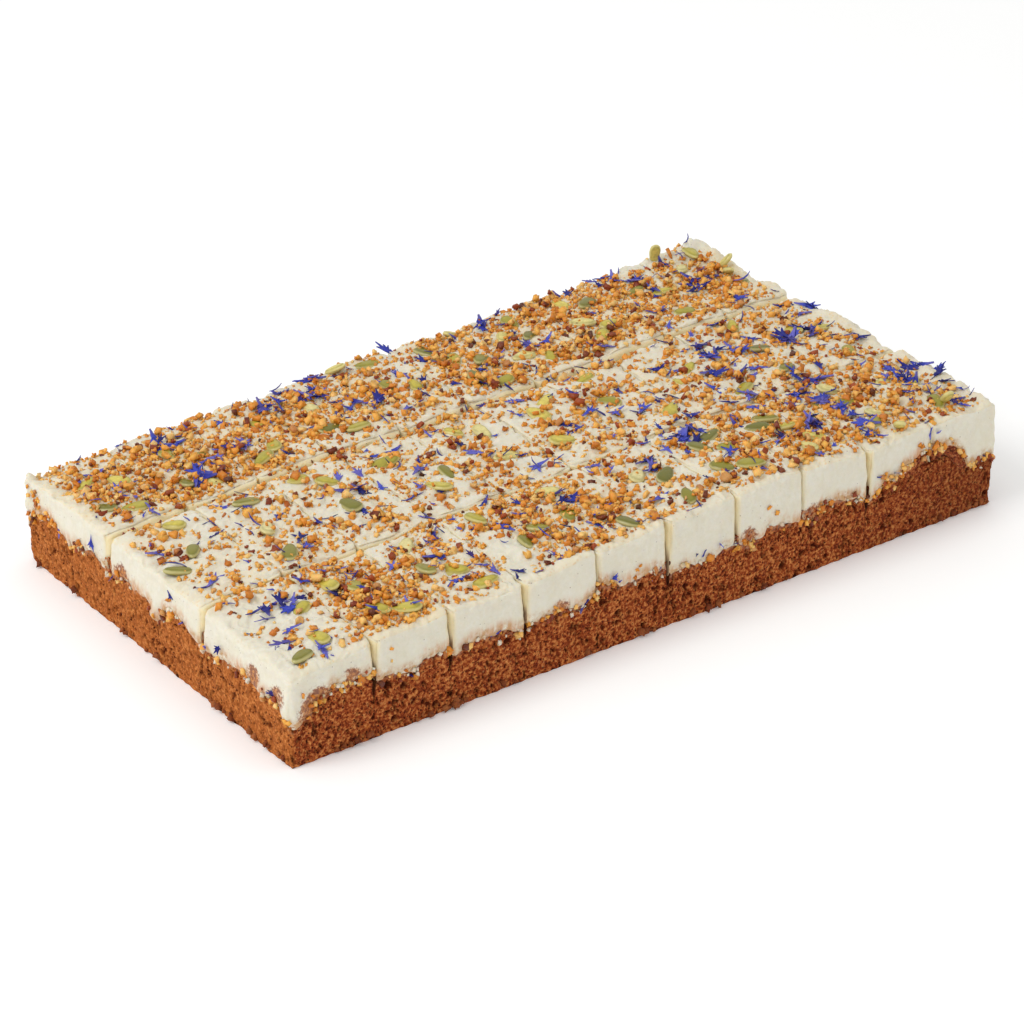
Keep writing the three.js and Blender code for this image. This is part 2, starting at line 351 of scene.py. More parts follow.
def rim_distance(x, y):
    return np.maximum(np.minimum(slab_length / 2 - np.abs(x), slab_width / 2 - np.abs(y)), 0)


def rim_ridge(x, y):
    """The soft ridge that the spatula left along the right end, and in places along the near edge."""
    right = mound(slab_length / 2 - 5 - x, 3.4) * (0.6 + 0.5 * ripple(y, 17, 151))
    near = mound(y + slab_width / 2 - 4, 2.6) * smooth(x, 40, 75) * ripple(x, 15, 152)
    return ridge_height * (right + 0.8 * near)


def icing_top(x, y):
    """Height of the icing's upper surface, as the solids have it, with the spatula's peaks on top."""
    waves = (
        0.7 * np.sin(x * 0.062 + y * 0.021)
        + 0.5 * np.sin(y * 0.11 - x * 0.027 + 1.3)
        + 0.35 * np.sin(x * 0.17 + y * 0.09 + 0.4)
    )
    rim = rim_sag * np.exp(-rim_distance(x, y) / rim_reach)
    corner_gap = np.hypot(slab_length / 2 - np.abs(x), slab_width / 2 - np.abs(y))
    depth = np.where((x > 0) & (y > 0), -corner_swirl, corner_sag)
    corner = depth * np.exp(-corner_gap / corner_sag_reach)
    bumps = sum(b["rise"] * mound(np.hypot(x - b["x"], y - b["y"]), b["reach"]) for b in swells + swirls)
    level = icing_level + icing_rise * x + icing_twist * x * y
    return level + (waves + rim_ridge(x, y)) + bumps - rim - corner


def crag(along, height):
    """Broad crags of the sponge's outer faces, from 0 to crag_depth, as the solids have them."""
    coarse = np.sin(along * 0.17 - height * 0.51 + 2)
    middle = np.sin(along * 0.41 + height * 0.23)
    fine = np.sin(along * 0.93 + 4)
    return crag_depth * (0.5 + (coarse + middle + fine) / 6)


def sponge_face_inset(along, height, end):
    return sponge_inset + crag(along + crag_shift * end, height)


def on_side(marks, axis, end):
    return [mark for mark in marks if mark["side"] == side_name(axis, end)]


def border_height(part, axis, end, along):
    """Height of the icing's ragged lower border on an outer face, round the solids' own lip."""
    stream = streams["lip"] + sides.index(side_name(axis, end))
    half = (slab_width, slab_length)[axis] / 2
    places = np.linspace(part["low"][1 - axis], part["high"][1 - axis], lip_steps + 1)
    vary = lip_vary * (2 * draw(part["number"] * 10 + np.arange(lip_steps + 1), stream) - 1)
    height = sponge_height - lip_mean - np.interp(along, places, vary)
    for number, tooth in enumerate(ragged):
        height = height + tooth["height"] * ripple(along, tooth["pitch"], 40 + 4 * number + stream)
    for tear in on_side(border_tears, axis, end):
        height = height + tear["rise"] * mound(along - tear["along"], tear["reach"])
    return height - corner_hang * np.exp(-(half - np.abs(along)) / corner_hang_reach)


def face_marks(marks, axis, end, along, height):
    """Depth of the round marks on an outer face: hollows in the skirt, or stains at full strength."""
    return sum(
        m.get("depth", 1) * mound(np.hypot(along - m["along"], height - m["height"]), m["reach"])
        for m in on_side(marks, axis, end)
    )


def crust_height(axis, end, along):
    """Height up to which bare sponge shows where the icing stops short of the edge."""
    height = np.zeros(len(along))
    for c in on_side(crusts, axis, end):
        dome = np.clip(1 - ((along - c["along"]) / c["reach"]) ** 4, 0, 1)
        height = np.maximum(height, c["height"] * dome)
    return height + 1.1 * ripple(along, 6, 161) + 0.7 * ripple(along, 2.2, 162)


def cut_of(part, axis, end):
    """The place of an inner side's cut, to a millimetre, by which its own measures are listed."""
    return round((part["low"], part["high"])[end][axis])


def kerf_at(part, axis, end):
    return column_kerf if axis == 0 else row_kerfs[cut_of(part, axis, end)]


def side_measures(part, key):
    """The named measure of each of a slice's four upright sides."""
    return [
        [(outer_edge if part["outer"][axis][end] else kerf_at(part, axis, end))[key] for end in (0, 1)]
        for axis in (0, 1)
    ]


def crumb_density(x, y):
    more = sum(
        d["more"] * np.exp(-(((x - d["x"]) / d["reach"][0]) ** 4 + ((y - d["y"]) / d["reach"][1]) ** 4))
        for d in crumb_drifts
    )
    clumps = ripple(x + 0.6 * y, 13, 101) * ripple(y - 0.5 * x, 11, 102)
    small = ripple(x - 0.3 * y, 5, 103) * ripple(y + 0.4 * x, 5.5, 104)
    in_cut = sum(cut["share"] * mound(y - cut["y"], cut["reach"]) for cut in swept_cuts)
    return np.maximum(1 + more + 0.9 * clumps + 1.3 * small, 0.05) * (1 - in_cut)


def step_for(pairs, plain):
    """Grid step of the lines that shape these outer faces: finest on the near and left sides."""
    if any(pair[0] for pair in pairs):
        return fine_step
    return unseen_step if any(pair[1] for pair in pairs) else plain


def upright_sides(part, points):
    """Each upright side of a slice: axis, end, whether it is on the outside, the direction inwards, and
    for each point its gap to the side, whether it lies on it, its pull towards it, and its place along."""
    for axis in (0, 1):
        for end in (0, 1):
            gap = (points[:, axis] - part["low"][axis], part["high"][axis] - points[:, axis])[end]
            pull = np.clip(1 - gap / cut_pull, 0, 1)
            outer = part["outer"][axis][end]
            yield axis, end, outer, 1 - 2 * end, gap, gap < touching, pull, points[:, 1 - axis]


def soft_fall(part, points):
    """How deep the soft edge falls at each point: as the nearest side's, mixed where two sides meet."""
    widths, falls = side_measures(part, "edge"), side_measures(part, "drop")
    round_part = points[:, 0] + points[:, 1]
    uneven = 1 + 0.45 * ripple(round_part, 8.5, 55) + 0.3 * ripple(round_part, 3.7, 56)
    weights = np.zeros((len(points), 2))
    fall = np.zeros((len(points), 2))
    for axis in (0, 1):
        to_low = points[:, axis] - part["low"][axis]
        to_high = part["high"][axis] - points[:, axis]
        end = (to_high < to_low).astype(int)
        gap = np.minimum(to_low, to_high)
        weights[:, axis] = np.clip(1 - gap / np.array(widths[axis])[end], 0, 1) + 1e-6
        fall[:, axis] = np.array(falls[axis])[end] * uneven
    return (weights * fall).sum(1) / weights.sum(1)


def icing_slice(part):
    """The icing on one slice: soft edges, cut walls, and a ragged skirt over the outer faces."""
    low, high, outer = part["low"], part["high"], part["outer"]
    depth = skirt_depth if any(outer[0]) or any(outer[1]) else wall_depth
    steps = [step_for([outer[1 - axis]], top_step) for axis in (0, 1)]
    drops = lines_between(0, depth, drop_lines, step_for(outer, 4))
    lines = [lines_between(low[axis], high[axis], edge_lines, steps[axis]) for axis in (0, 1)]
    points, faces = shell_of([*lines, -drops[::-1]])
    widths = [*side_measures(part, "edge"), [np.zeros(len(points)), soft_fall(part, points)]]
    out, shift = rounded(points, [*low, -depth], [*high, 0], widths)

    drop = -points[:, 2]
    top_points = points[:, :2] + shift[:, :2]
    top = icing_top(top_points[:, 0], top_points[:, 1]) + shift[:, 2]
    bottom = np.full(len(points), sponge_height + touch_gap)
    above = np.full(len(points), far_off)
    inner = np.full(len(points), far_off)
    walls, cleft, stain = np.zeros((3, len(points)))
    free = np.ones(len(points))
    underside = drop >= depth - 1e-6
    for axis, end, is_outer, _, gap, on_it, _, along in upright_sides(part, points):
        if is_outer:
            border = border_height(part, axis, end, along)
            bottom = np.where(gap < lip_depth, np.minimum(bottom, border), bottom)
        else:
            tint = min(wall_tint + gapes[cut_of(part, axis, end)], 1)
            share = np.clip(1 - gap / wall_tint_reach, 0, 1) * tint
            walls = np.maximum(walls, share * smooth(drop, -0.6, 1.6))
            free = np.where(on_it, np.minimum(free, wall_relief), free)
    height = top - drop * (top - bottom) / depth
    place = top_points.copy()
    for axis, end, is_outer, inward, gap, on_it, pull, along in upright_sides(part, points):
        if is_outer:
            border = border_height(part, axis, end, along)
            over = height - border
            seen = height - np.maximum(border, crust_height(axis, end, along))
            lean = np.clip((height - sponge_height) / (top - shoulder - sponge_height), 0, 1)
            plane = lip_inset + outer_lean * lean
            skin = sponge_face_inset(along, height, end) - border_proud
            share = smooth(over, 0, border_taper * (1 + 0.5 * ripple(along, 5, 61)))
            inset = skin + (plane - skin) * share + face_marks(hollows, axis, end, along, height)
            inset = inset + crust_recess * smooth(over, 0.5, 2) * smooth(-seen, -0.3, 0.5)
            near_skin = on_it | (underside & (gap < lip_depth))
            above = np.where(near_skin, np.minimum(above, seen), above)
            inner = np.minimum(inner, gap)
            stain = np.maximum(stain, on_it * face_marks(stains, axis, end, along, height))
            place[:, axis] += pull * inward * inset
        else:
            cut = cut_of(part, axis, end)
            kerf = kerf_at(part, axis, end)
            narrowing = np.clip(1 - drop / kerf["depth"], 0, 1) ** 1.5
            opening = 1 + 0.5 * ripple(along, 11, 70 + cut)
            gape = gapes[cut] * np.exp(-rim_distance(points[:, 0], points[:, 1]) / gape_reach)
            gape = gape * (gape_foot + (1 - gape_foot) * np.clip(1 - drop / wall_depth, 0, 1) ** 1.3)
            gape = gape * (1 + 0.4 * ripple(height, 4.5, 75 + cut))
            # Where the cut wall opens deep down, marked for painted shade in the cleft
            cleft = np.maximum(cleft, on_it * smooth(drop, 10, wall_depth) * min(gapes[cut], 1))
            inset = (kerf["foot"] + gape + (kerf["top"] - kerf["foot"]) * narrowing * opening) / 2
            wander = cut_wander * ripple(along, 26, 80 + cut)
            place[:, axis] += pull * (inward * inset + wander)
    points = np.column_stack([place, height])
    free = np.where(underside & (inner > touching), 0, free)
    strewn_share = np.clip(crumb_density(place[:, 0], place[:, 1]) / 2.6, 0, 1) * (drop < touching)
    values = {"outward": out, "free": free, "cut": walls, "above": above, "strewn": strewn_share}
    values |= {"cleft": cleft, "stain": stain}
    return piece_from(f"icing_slice_{part['place']}", points, faces, values)


def sponge_slice(part):
    """The sponge under one slice: craggy outer faces, plain cut walls, and cracks at the cuts."""
    low, high, outer = part["low"], part["high"], part["outer"]
    steps = [step_for([outer[1 - axis]], plain_step) for axis in (0, 1)]
    lines = [lines_between(low[axis], high[axis], sponge_lines, steps[axis]) for axis in (0, 1)]
    upright = lines_between(0, sponge_height, sponge_lines, step_for(outer, plain_step))
    points, faces = shell_of([*lines, upright])
    edge = [[sponge_edge if is_outer else 0 for is_outer in pair] for pair in outer]
    out, shift = rounded(points, [*low, 0], [*high, sponge_height], [*edge, [0.6, 0.6]])
    height = points[:, 2] + shift[:, 2]
    place = points[:, :2] + shift[:, :2]
    open_air, cleft = np.zeros((2, len(points)))
    below = np.full(len(points), far_off)
    rim = np.full(len(points), far_off)
    for _, _, is_outer, _, gap, *_ in upright_sides(part, points):
        if is_outer:
            rim = np.minimum(rim, gap)
    near_rim = np.exp(-rim / crack_reach)
    for axis, end, is_outer, inward, gap, on_it, pull, along in upright_sides(part, points):
        if is_outer:
            open_air = np.maximum(open_air, on_it)
            border = border_height(part, axis, end, along)
            edge_height = np.maximum(border, crust_height(axis, end, along))
            below = np.where(on_it, np.minimum(below, edge_height - height), below)
            place[:, axis] += pull * inward * sponge_face_inset(along, height, end)
        else:
            cut = cut_of(part, axis, end)
            opening = crack_share * gapes[cut] * smooth(height, crack_foot, sponge_height - 3) / 2
            # Where a crack opens at a cut, marked for the painted shade in it
            cleft = np.maximum(cleft, (gap < 0.5) * smooth(opening, 0.05, 0.4) * np.exp(-rim / 6))
            jag = jag_depth * ripple(height, 2.5, 90 + cut) * near_rim
            place[:, axis] += pull * (inward * (touch_gap / 3 + opening * near_rim) + jag)
    out[:, 2] = np.maximum(out[:, 2], 0)
    values = {"outward": out, "free": open_air, "below": below, "cleft": cleft}
    return piece_from(f"sponge_slice_{part['place']}", np.column_stack([place, height]), faces, values)


# Node trees

GEOMETRY = "NodeSocketGeometry"
FLOAT = "NodeSocketFloat"
VECTOR = "NodeSocketVector"
MATERIAL = "NodeSocketMaterial"


def node(tree, kind, inputs=None, **settings):
    """Adds a node with its own settings, and sets or links its inputs by name or number."""
    made = tree.nodes.new(kind)
    for name, value in settings.items():
        setattr(made, name, value)
    for socket, value in (inputs or {}).items():
        if isinstance(value, bpy.types.NodeSocket):
            tree.links.new(value, made.inputs[socket])
        else:
            made.inputs[socket].default_value = value
    return made


def maths(tree, operation, a, b=0.0):
    return node(tree, "ShaderNodeMath", {0: a, 1: b}, operation=operation).outputs[0]


def times(tree, first, *others):
    for other in others:
        first = maths(tree, "MULTIPLY", first, other)
    return first


def plus(tree, a, b):
    return maths(tree, "ADD", a, b)


def minus(tree, a, b):
    return maths(tree, "SUBTRACT", a, b)


def one_over(tree, size):
    return maths(tree, "DIVIDE", 1.0, size) if isinstance(size, bpy.types.NodeSocket) else 1 / size


def vectors(tree, operation, a, b):
    return node(tree, "ShaderNodeVectorMath", {0: a, 1: b}, operation=operation).outputs[0]


def scaled(tree, vector, factor):
    made = node(tree, "ShaderNodeVectorMath", {0: vector, "Scale": factor}, operation="SCALE")
    return made.outputs["Vector"]


def along_axis(tree, vector, axis):
    return node(tree, "ShaderNodeSeparateXYZ", {0: vector}).outputs[axis]


def remap(tree, value, low, high, to_low=0.0, to_high=1.0):
    inputs = {"Value": value, "From Min": low, "From Max": high, "To Min": to_low, "To Max": to_high}
    return node(tree, "ShaderNodeMapRange", inputs, interpolation_type="SMOOTHSTEP").outputs["Result"]


def noise(tree, vector, size, detail=2.0, roughness=0.5, distortion=0.0, output="Fac"):
    """Smooth noise with lumps of about the given size."""
    inputs = {"Vector": vector, "Scale": one_over(tree, size), "Detail": detail, "Roughness": roughness}
    return node(tree, "ShaderNodeTexNoise", inputs | {"Distortion": distortion}).outputs[output]


def scattered(tree, vector, spacing, radius, share, core):
    """Round spots in some of the cells of a random pattern, solid out to a core share of the radius."""
    cell = node(tree, "ShaderNodeTexVoronoi", {"Vector": vector, "Scale": one_over(tree, spacing)})
    chosen = maths(tree, "LESS_THAN", along_axis(tree, cell.outputs["Color"], "X"), share)
    distance = times(tree, cell.outputs["Distance"], spacing)
    return times(tree, remap(tree, distance, radius, times(tree, radius, core)), chosen)


def new_tree(name, kind, inputs, outputs):
    """A node group with named inputs and outputs. Each input is (name, socket type, value)."""
    tree = bpy.data.node_groups.new(name, kind)
    for label, socket, value in inputs:
        made = tree.interface.new_socket(name=label, in_out="INPUT", socket_type=socket)
        if value is not None:
            made.default_value = value
    for label, socket in outputs:
        tree.interface.new_socket(name=label, in_out="OUTPUT", socket_type=socket)
    return tree, tree.nodes.new("NodeGroupInput"), tree.nodes.new("NodeGroupOutput")


def geometry_tree(name, sizes, *others):
    """A geometry tree that takes a material, sizes in millimetres and other inputs."""
    inputs = [("Geometry", GEOMETRY, None), ("Material", MATERIAL, None)]
    inputs += [(label, FLOAT, size * MM) for label, size in sizes.items()]
    return new_tree(name, "GeometryNodeTree", [*inputs, *others], [("Geometry", GEOMETRY)])


def field(tree, name, kind="FLOAT"):
    """A named attribute's values in a geometry tree."""
    return node(tree, "GeometryNodeInputNamedAttribute", {"Name": name}, data_type=kind).outputs[0]


def position(tree):
    return node(tree, "GeometryNodeInputPosition").outputs[0]


def moved(tree, geometry, offset):
    return node(tree, "GeometryNodeSetPosition", {"Geometry": geometry, "Offset": offset}).outputs[0]


def relieved(tree, start, total, pore):
    """Moves a slice's free points outwards by the total, and stores where its pores are."""
    inputs = {"Geometry": start.outputs["Geometry"], "Name": "pore", "Value": pore}
    porous = node(tree, "GeometryNodeStoreNamedAttribute", inputs, data_type="FLOAT", domain="POINT")
    total = times(tree, total, field(tree, "free"))
    return moved(tree, porous.outputs[0], scaled(tree, field(tree, "outward", "FLOAT_VECTOR"), total))


def finish_tree(tree, geometry, start, end, smoothed=True):
    """Realizes the instances, smooths the shading and sets the material, as each tree ends."""
    whole = node(tree, "GeometryNodeRealizeInstances", {"Geometry": geometry}).outputs[0]
    whole = node(tree, "GeometryNodeSetShadeSmooth", {"Geometry": whole, "Shade Smooth": smoothed})
    inputs = {"Geometry": whole.outputs[0], "Material": start.outputs["Material"]}
    whole = node(tree, "GeometryNodeSetMaterial", inputs)
    tree.links.new(whole.outputs[0], end.inputs["Geometry"])
    return tree


def shaped(piece, tree, sizes):
    """Runs a geometry tree on a piece with the given inputs, and keeps the result as a plain mesh."""
    modifier = piece.modifiers.new(tree.name, "NODES")
    modifier.node_group = tree
    for item in tree.interface.items_tree:
        if item.in_out == "INPUT" and item.name in sizes:
            modifier[item.identifier] = sizes[item.name]
    graph = bpy.context.evaluated_depsgraph_get()
    mesh = bpy.data.meshes.new_from_object(piece.evaluated_get(graph))
    piece.modifiers.clear()
    old = piece.data
    piece.data = mesh
    bpy.data.meshes.remove(old)
    mesh.name = piece.name
    return piece


def icing_relief_tree():
    """Spatula swells and streaks, and the small lumps of whipped icing."""
    sizes = {
        "Swell size": 13, "Swell height": 1.1, "Lump size": 3.2, "Lump height": 0.32, "Crest size": 7.5,
        "Crest height": 1.6, "Streak size": 3.0, "Streak height": 0.42, "Stroke size": 11,
        "Stroke height": 2.2, "Tear size": 2.4, "Tear height": 0.6, "Pore size": 2.2, "Pore depth": 1.1,
        "Bend size": 45, "Bend reach": 26,
    }
    turns = [("Streak stretch", FLOAT, 0.2), ("Stroke stretch", FLOAT, 0.3), ("Stroke turn", FLOAT, 0.5)]
    tree, start, end = geometry_tree("Icing relief", sizes, *turns)
    size = start.outputs
    place = position(tree)
    upright = along_axis(tree, field(tree, "outward", "FLOAT_VECTOR"), "Z")
    above = field(tree, "above")

    def layer(name, detail, vector=place):
        wave = minus(tree, noise(tree, vector, size[f"{name} size"], detail), 0.5)
        return times(tree, wave, times(tree, size[f"{name} height"], 2.0))

    def ridges(name, width, wave):
        """Sharp ridges where a wave crosses its middle, with wide hollows between."""
        ridge = minus(tree, width, maths(tree, "ABSOLUTE", minus(tree, wave, 0.5)))
        return times(tree, ridge, times(tree, size[f"{name} height"], 4.0))

    # Upright streaks on the side faces, which turn to small tears near the border
    squeeze = node(tree, "ShaderNodeCombineXYZ", {0: 1.0, 1: 1.0, 2: size["Streak stretch"]}).outputs[0]
    streak = layer("Streak", 3.0, vectors(tree, "MULTIPLY", place, squeeze))
    on_sides = minus(tree, 1.0, maths(tree, "ABSOLUTE", upright))
    near_border = remap(tree, above, 5.0, 0.5)
    tear = times(tree, layer("Tear", 2.0), near_border)
    total = plus(tree, times(tree, streak, minus(tree, 1.0, near_border), on_sides), tear)

    # Strokes of the spatula on the top, along a bent direction
    bend = scaled(tree, noise(tree, place, size["Bend size"], 1.0, output="Color"), size["Bend reach"])
    turned = {"Vector": vectors(tree, "ADD", place, bend), "Angle": size["Stroke turn"]}
    turned = node(tree, "ShaderNodeVectorRotate", turned, rotation_type="Z_AXIS").outputs[0]
    long = node(tree, "ShaderNodeCombineXYZ", {0: size["Stroke stretch"], 1: 1.0, 2: 0.2}).outputs[0]
    long = vectors(tree, "MULTIPLY", turned, long)
    stroke = ridges("Stroke", 0.12, noise(tree, long, size["Stroke size"], 1.5))
    crest = ridges("Crest", 0.1, noise(tree, place, size["Crest size"], 1.5, 0.45, 0.8))
    spread = times(tree, plus(tree, stroke, crest), remap(tree, upright, 0.3, 0.95))
    for relief in (spread, layer("Swell", 1.0), layer("Lump", 3.0)):
        total = plus(tree, total, relief)

    # Where sponge shows through, it has the sponge's own pores
    pore = remap(tree, noise(tree, place, size["Pore size"], 1.5, 0.5, 0.6), 0.52, 0.65)
    pore = times(tree, pore, remap(tree, above, 0.0, -1.0))
    total = minus(tree, total, times(tree, pore, size["Pore depth"]))
    return finish_tree(tree, relieved(tree, start, total, pore), start, end)


def sponge_relief_tree():
    """Crumb lumps, pores and a few larger holes in the sponge's outer faces."""
    sizes = {
        "Lump size": 3.6, "Lump height": 0.55, "Pore size": 2.0, "Pore depth": 1.4, "Patch size": 17,
        "Hole spacing": 7.5, "Hole radius": 2.3, "Hole depth": 2.2,
    }
    shares = [("Pore share", FLOAT, 0.56), ("Hole share", FLOAT, 0.42)]
    tree, start, end = geometry_tree("Sponge relief", sizes, *shares)
    size = start.outputs
    place = position(tree)
    lump = minus(tree, noise(tree, place, size["Lump size"], 3.0, 0.6), 0.5)
    lump = times(tree, lump, times(tree, size["Lump height"], 2.0))
    tall = vectors(tree, "MULTIPLY", place, (1, 1, 0.72))
    edge = times(tree, noise(tree, place, size["Patch size"], 1.0), 0.18)
    edge = plus(tree, minus(tree, size["Pore share"], edge), 0.1)
    pore = remap(tree, noise(tree, tall, size["Pore size"], 1.5, 0.5, 0.6), edge, plus(tree, edge, 0.13))
    hole = scattered(tree, place, size["Hole spacing"], size["Hole radius"], size["Hole share"], 0.4)
    total = minus(tree, lump, times(tree, pore, size["Pore depth"]))
    total = minus(tree, total, times(tree, hole, size["Hole depth"]))
    return finish_tree(tree, relieved(tree, start, total, maths(tree, "MAXIMUM", pore, hole)), start, end)


def strewn_tree():
    """Sets one of a few shapes on each point, turned and sized by the point, and roughens the whole."""
    others = [("Shapes", "NodeSocketCollection", None), ("Smooth", "NodeSocketBool", True)]
    sizes = {"Roughness size": 1.3, "Roughness height": 0.3}
    tree, start, end = geometry_tree("Strewn pieces", sizes, *others)
    size = start.outputs
    shapes = {"Collection": size["Shapes"], "Separate Children": True, "Reset Children": True}
    shapes = node(tree, "GeometryNodeCollectionInfo", shapes, transform_space="ORIGINAL").outputs[0]
    turn = node(tree, "FunctionNodeEulerToRotation", {0: field(tree, "turn", "FLOAT_VECTOR")}).outputs[0]
    inputs = {
        "Points": size["Geometry"],
        "Instance": shapes,
        "Pick Instance": True,
        "Instance Index": field(tree, "kind"),
        "Rotation": turn,
        "Scale": field(tree, "size", "FLOAT_VECTOR"),
    }
    pieces = node(tree, "GeometryNodeInstanceOnPoints", inputs).outputs[0]
    whole = node(tree, "GeometryNodeRealizeInstances", {"Geometry": pieces}).outputs[0]
    shake = noise(tree, position(tree), size["Roughness size"], 1.0, output="Color")
    shake = vectors(tree, "SUBTRACT", shake, (0.5, 0.5, 0.5))
    offset = scaled(tree, shake, times(tree, size["Roughness height"], 2.0))
    return finish_tree(tree, moved(tree, whole, offset), start, end, size["Smooth"])


# Finishes

def grain_group():
    """Fine grain: a mask of light and dark, and a height for bumps."""
    inputs = [("Vector", VECTOR, None), ("Size", FLOAT, 1 * MM), ("Contrast", FLOAT, 1.0)]
    outputs = [("Mask", FLOAT), ("Height", FLOAT)]
    tree, start, end = new_tree("Grain", "ShaderNodeTree", inputs, outputs)
    broad = noise(tree, start.outputs["Vector"], start.outputs["Size"], 4.0, 0.65)
    spread = times(tree, minus(tree, broad, 0.5), start.outputs["Contrast"], 2.0)
    clamped = node(tree, "ShaderNodeClamp", {"Value": plus(tree, spread, 0.5)}).outputs[0]
    tree.links.new(clamped, end.inputs["Mask"])
    tree.links.new(broad, end.inputs["Height"])
    return tree


def specks_group():
    """Scattered small specks with uneven outlines."""
    sizes = [("Spacing", FLOAT, 3 * MM), ("Radius", FLOAT, 0.3 * MM), ("Share", FLOAT, 0.3)]
    inputs = [("Vector", VECTOR, None), *sizes]
    tree, start, end = new_tree("Specks", "ShaderNodeTree", inputs, [("Mask", FLOAT)])
    size = start.outputs
    bent = scaled(tree, noise(tree, size["Vector"], 0.8 * MM, 1.0, output="Color"), 0.5 * MM)
    bent = vectors(tree, "ADD", size["Vector"], bent)
    mask = scattered(tree, bent, size["Spacing"], size["Radius"], size["Share"], 0.5)
    tree.links.new(mask, end.inputs["Mask"])
    return tree


grain = grain_group()
specks = specks_group()


def new_material(name, **values):
    """A material and its shader, with the values that are the same all over set on the shader."""
    material = bpy.data.materials.new(name)
    material.use_nodes = True
    tree = material.node_tree
    shader = tree.nodes["Principled BSDF"]
    for label, value in values.items():
        shader.inputs[label.replace("_", " ")].default_value = value
    place = node(tree, "ShaderNodeTexCoord").outputs["Object"]
    return material, tree, shader, place


def grained(tree, place, size, contrast, output="Mask"):
    inputs = {"Vector": place, "Size": size * MM, "Contrast": contrast}
    return node(tree, "ShaderNodeGroup", inputs, node_tree=grain).outputs[output]


def specked(tree, place, spacing, radius, share):
    inputs = {"Vector": place, "Spacing": spacing * MM, "Radius": radius * MM, "Share": share}
    return node(tree, "ShaderNodeGroup", inputs, node_tree=specks).outputs[0]


def mixed(tree, share, a, b):
    return node(tree, "ShaderNodeMix", {0: share, 6: a, 7: b}, data_type="RGBA").outputs[2]


def tinted(tree, base, mask, strength, code):
    """Lays a web colour over the base where the mask is, up to a given strength."""
    return mixed(tree, times(tree, mask, strength), base, colour(code))


def ramp(tree, share, stops):
    """A colour ramp: stops are (place, web colour)."""
    made = node(tree, "ShaderNodeValToRGB", {"Fac": share})
    points = made.color_ramp.elements
    while len(points) < len(stops):
        points.new(1.0)
    for point, (place, code) in zip(points, stops):
        point.position = place
        point.color = colour(code)
    return made.outputs["Color"]


def marked(tree, name):
    """A named attribute's values in a material."""
    return node(tree, "ShaderNodeAttribute", attribute_name=name).outputs["Fac"]


def finished(material, tree, shader, base, height, depth, strength):
    """Gives the shader its colour, and a bump of a given depth in millimetres."""
    tree.links.new(base, shader.inputs["Base Color"])
    made = node(tree, "ShaderNodeBump", {"Height": height, "Distance": depth * MM, "Strength": strength})
    tree.links.new(made.outputs["Normal"], shader.inputs["Normal"])
    return material


def sponge_colour(tree, place):
    """Carrot sponge crumb: dark pores with painted shade in them, paler grains with painted highlights,
    painted light that pales the left face, and painted shade that darkens the right end.
    """
    crumbs = [(0.0, "#4A1006"), (0.3, "#8A3616"), (0.55, "#B05A2C"), (1.0, "#E29654")]
    base = ramp(tree, grained(tree, place, 1.5, 1.8), crumbs)
    base = tinted(tree, base, grained(tree, place, 14, 1.2), 0.35, "#A85424")
    along = along_axis(tree, place, "X")
    left_end = -slab_length * MM / 2
    # Painted shade: the sponge darkens towards the right end
    painted_shade_right = remap(tree, along, 80 * MM, -left_end, 0.0, 0.4)
    base = mixed(tree, painted_shade_right, base, colour("#5E2410"))
    # Painted light: the outermost layer of the left face is paler, as lit from the left
    painted_light_left = remap(tree, along, 3.6 * MM + left_end, 1.4 * MM + left_end, 0.0, 0.36)
    base = mixed(tree, painted_light_left, base, colour("#D9883F"))
    # Painted shade: dark specks for pores too fine for the mesh
    base = tinted(tree, base, specked(tree, place, 1.5, 0.6, 0.55), 0.9, "#380B03")
    # Painted highlights: pale specks on the tips of the grains
    base = tinted(tree, base, specked(tree, place, 2.3, 0.6, 0.4), 0.4, "#DB9A66")
    # Painted shade in the pores of the relief
    return tinted(tree, base, marked(tree, "pore"), 0.95, "#420E03")


def sponge_finish():
    made = new_material("carrot_sponge", Roughness=0.9, Specular_IOR_Level=0.12)
    material, tree, shader, place = made
    base = sponge_colour(tree, place)
    base = tinted(tree, base, specked(tree, place, 6, 1.1, 0.3), 0.5, "#C9702A")
    smear = remap(tree, marked(tree, "below"), 3.5, 0.0)
    base = tinted(tree, base, times(tree, smear, grained(tree, place, 2.2, 4.0)), 0.6, "#C9A083")
    # Painted shade in the cracks at the cuts
    base = tinted(tree, base, marked(tree, "cleft"), 0.85, "#2E0D06")
    return finished(material, tree, shader, base, grained(tree, place, 0.7, 1.0, "Height"), 0.9, 1.0)


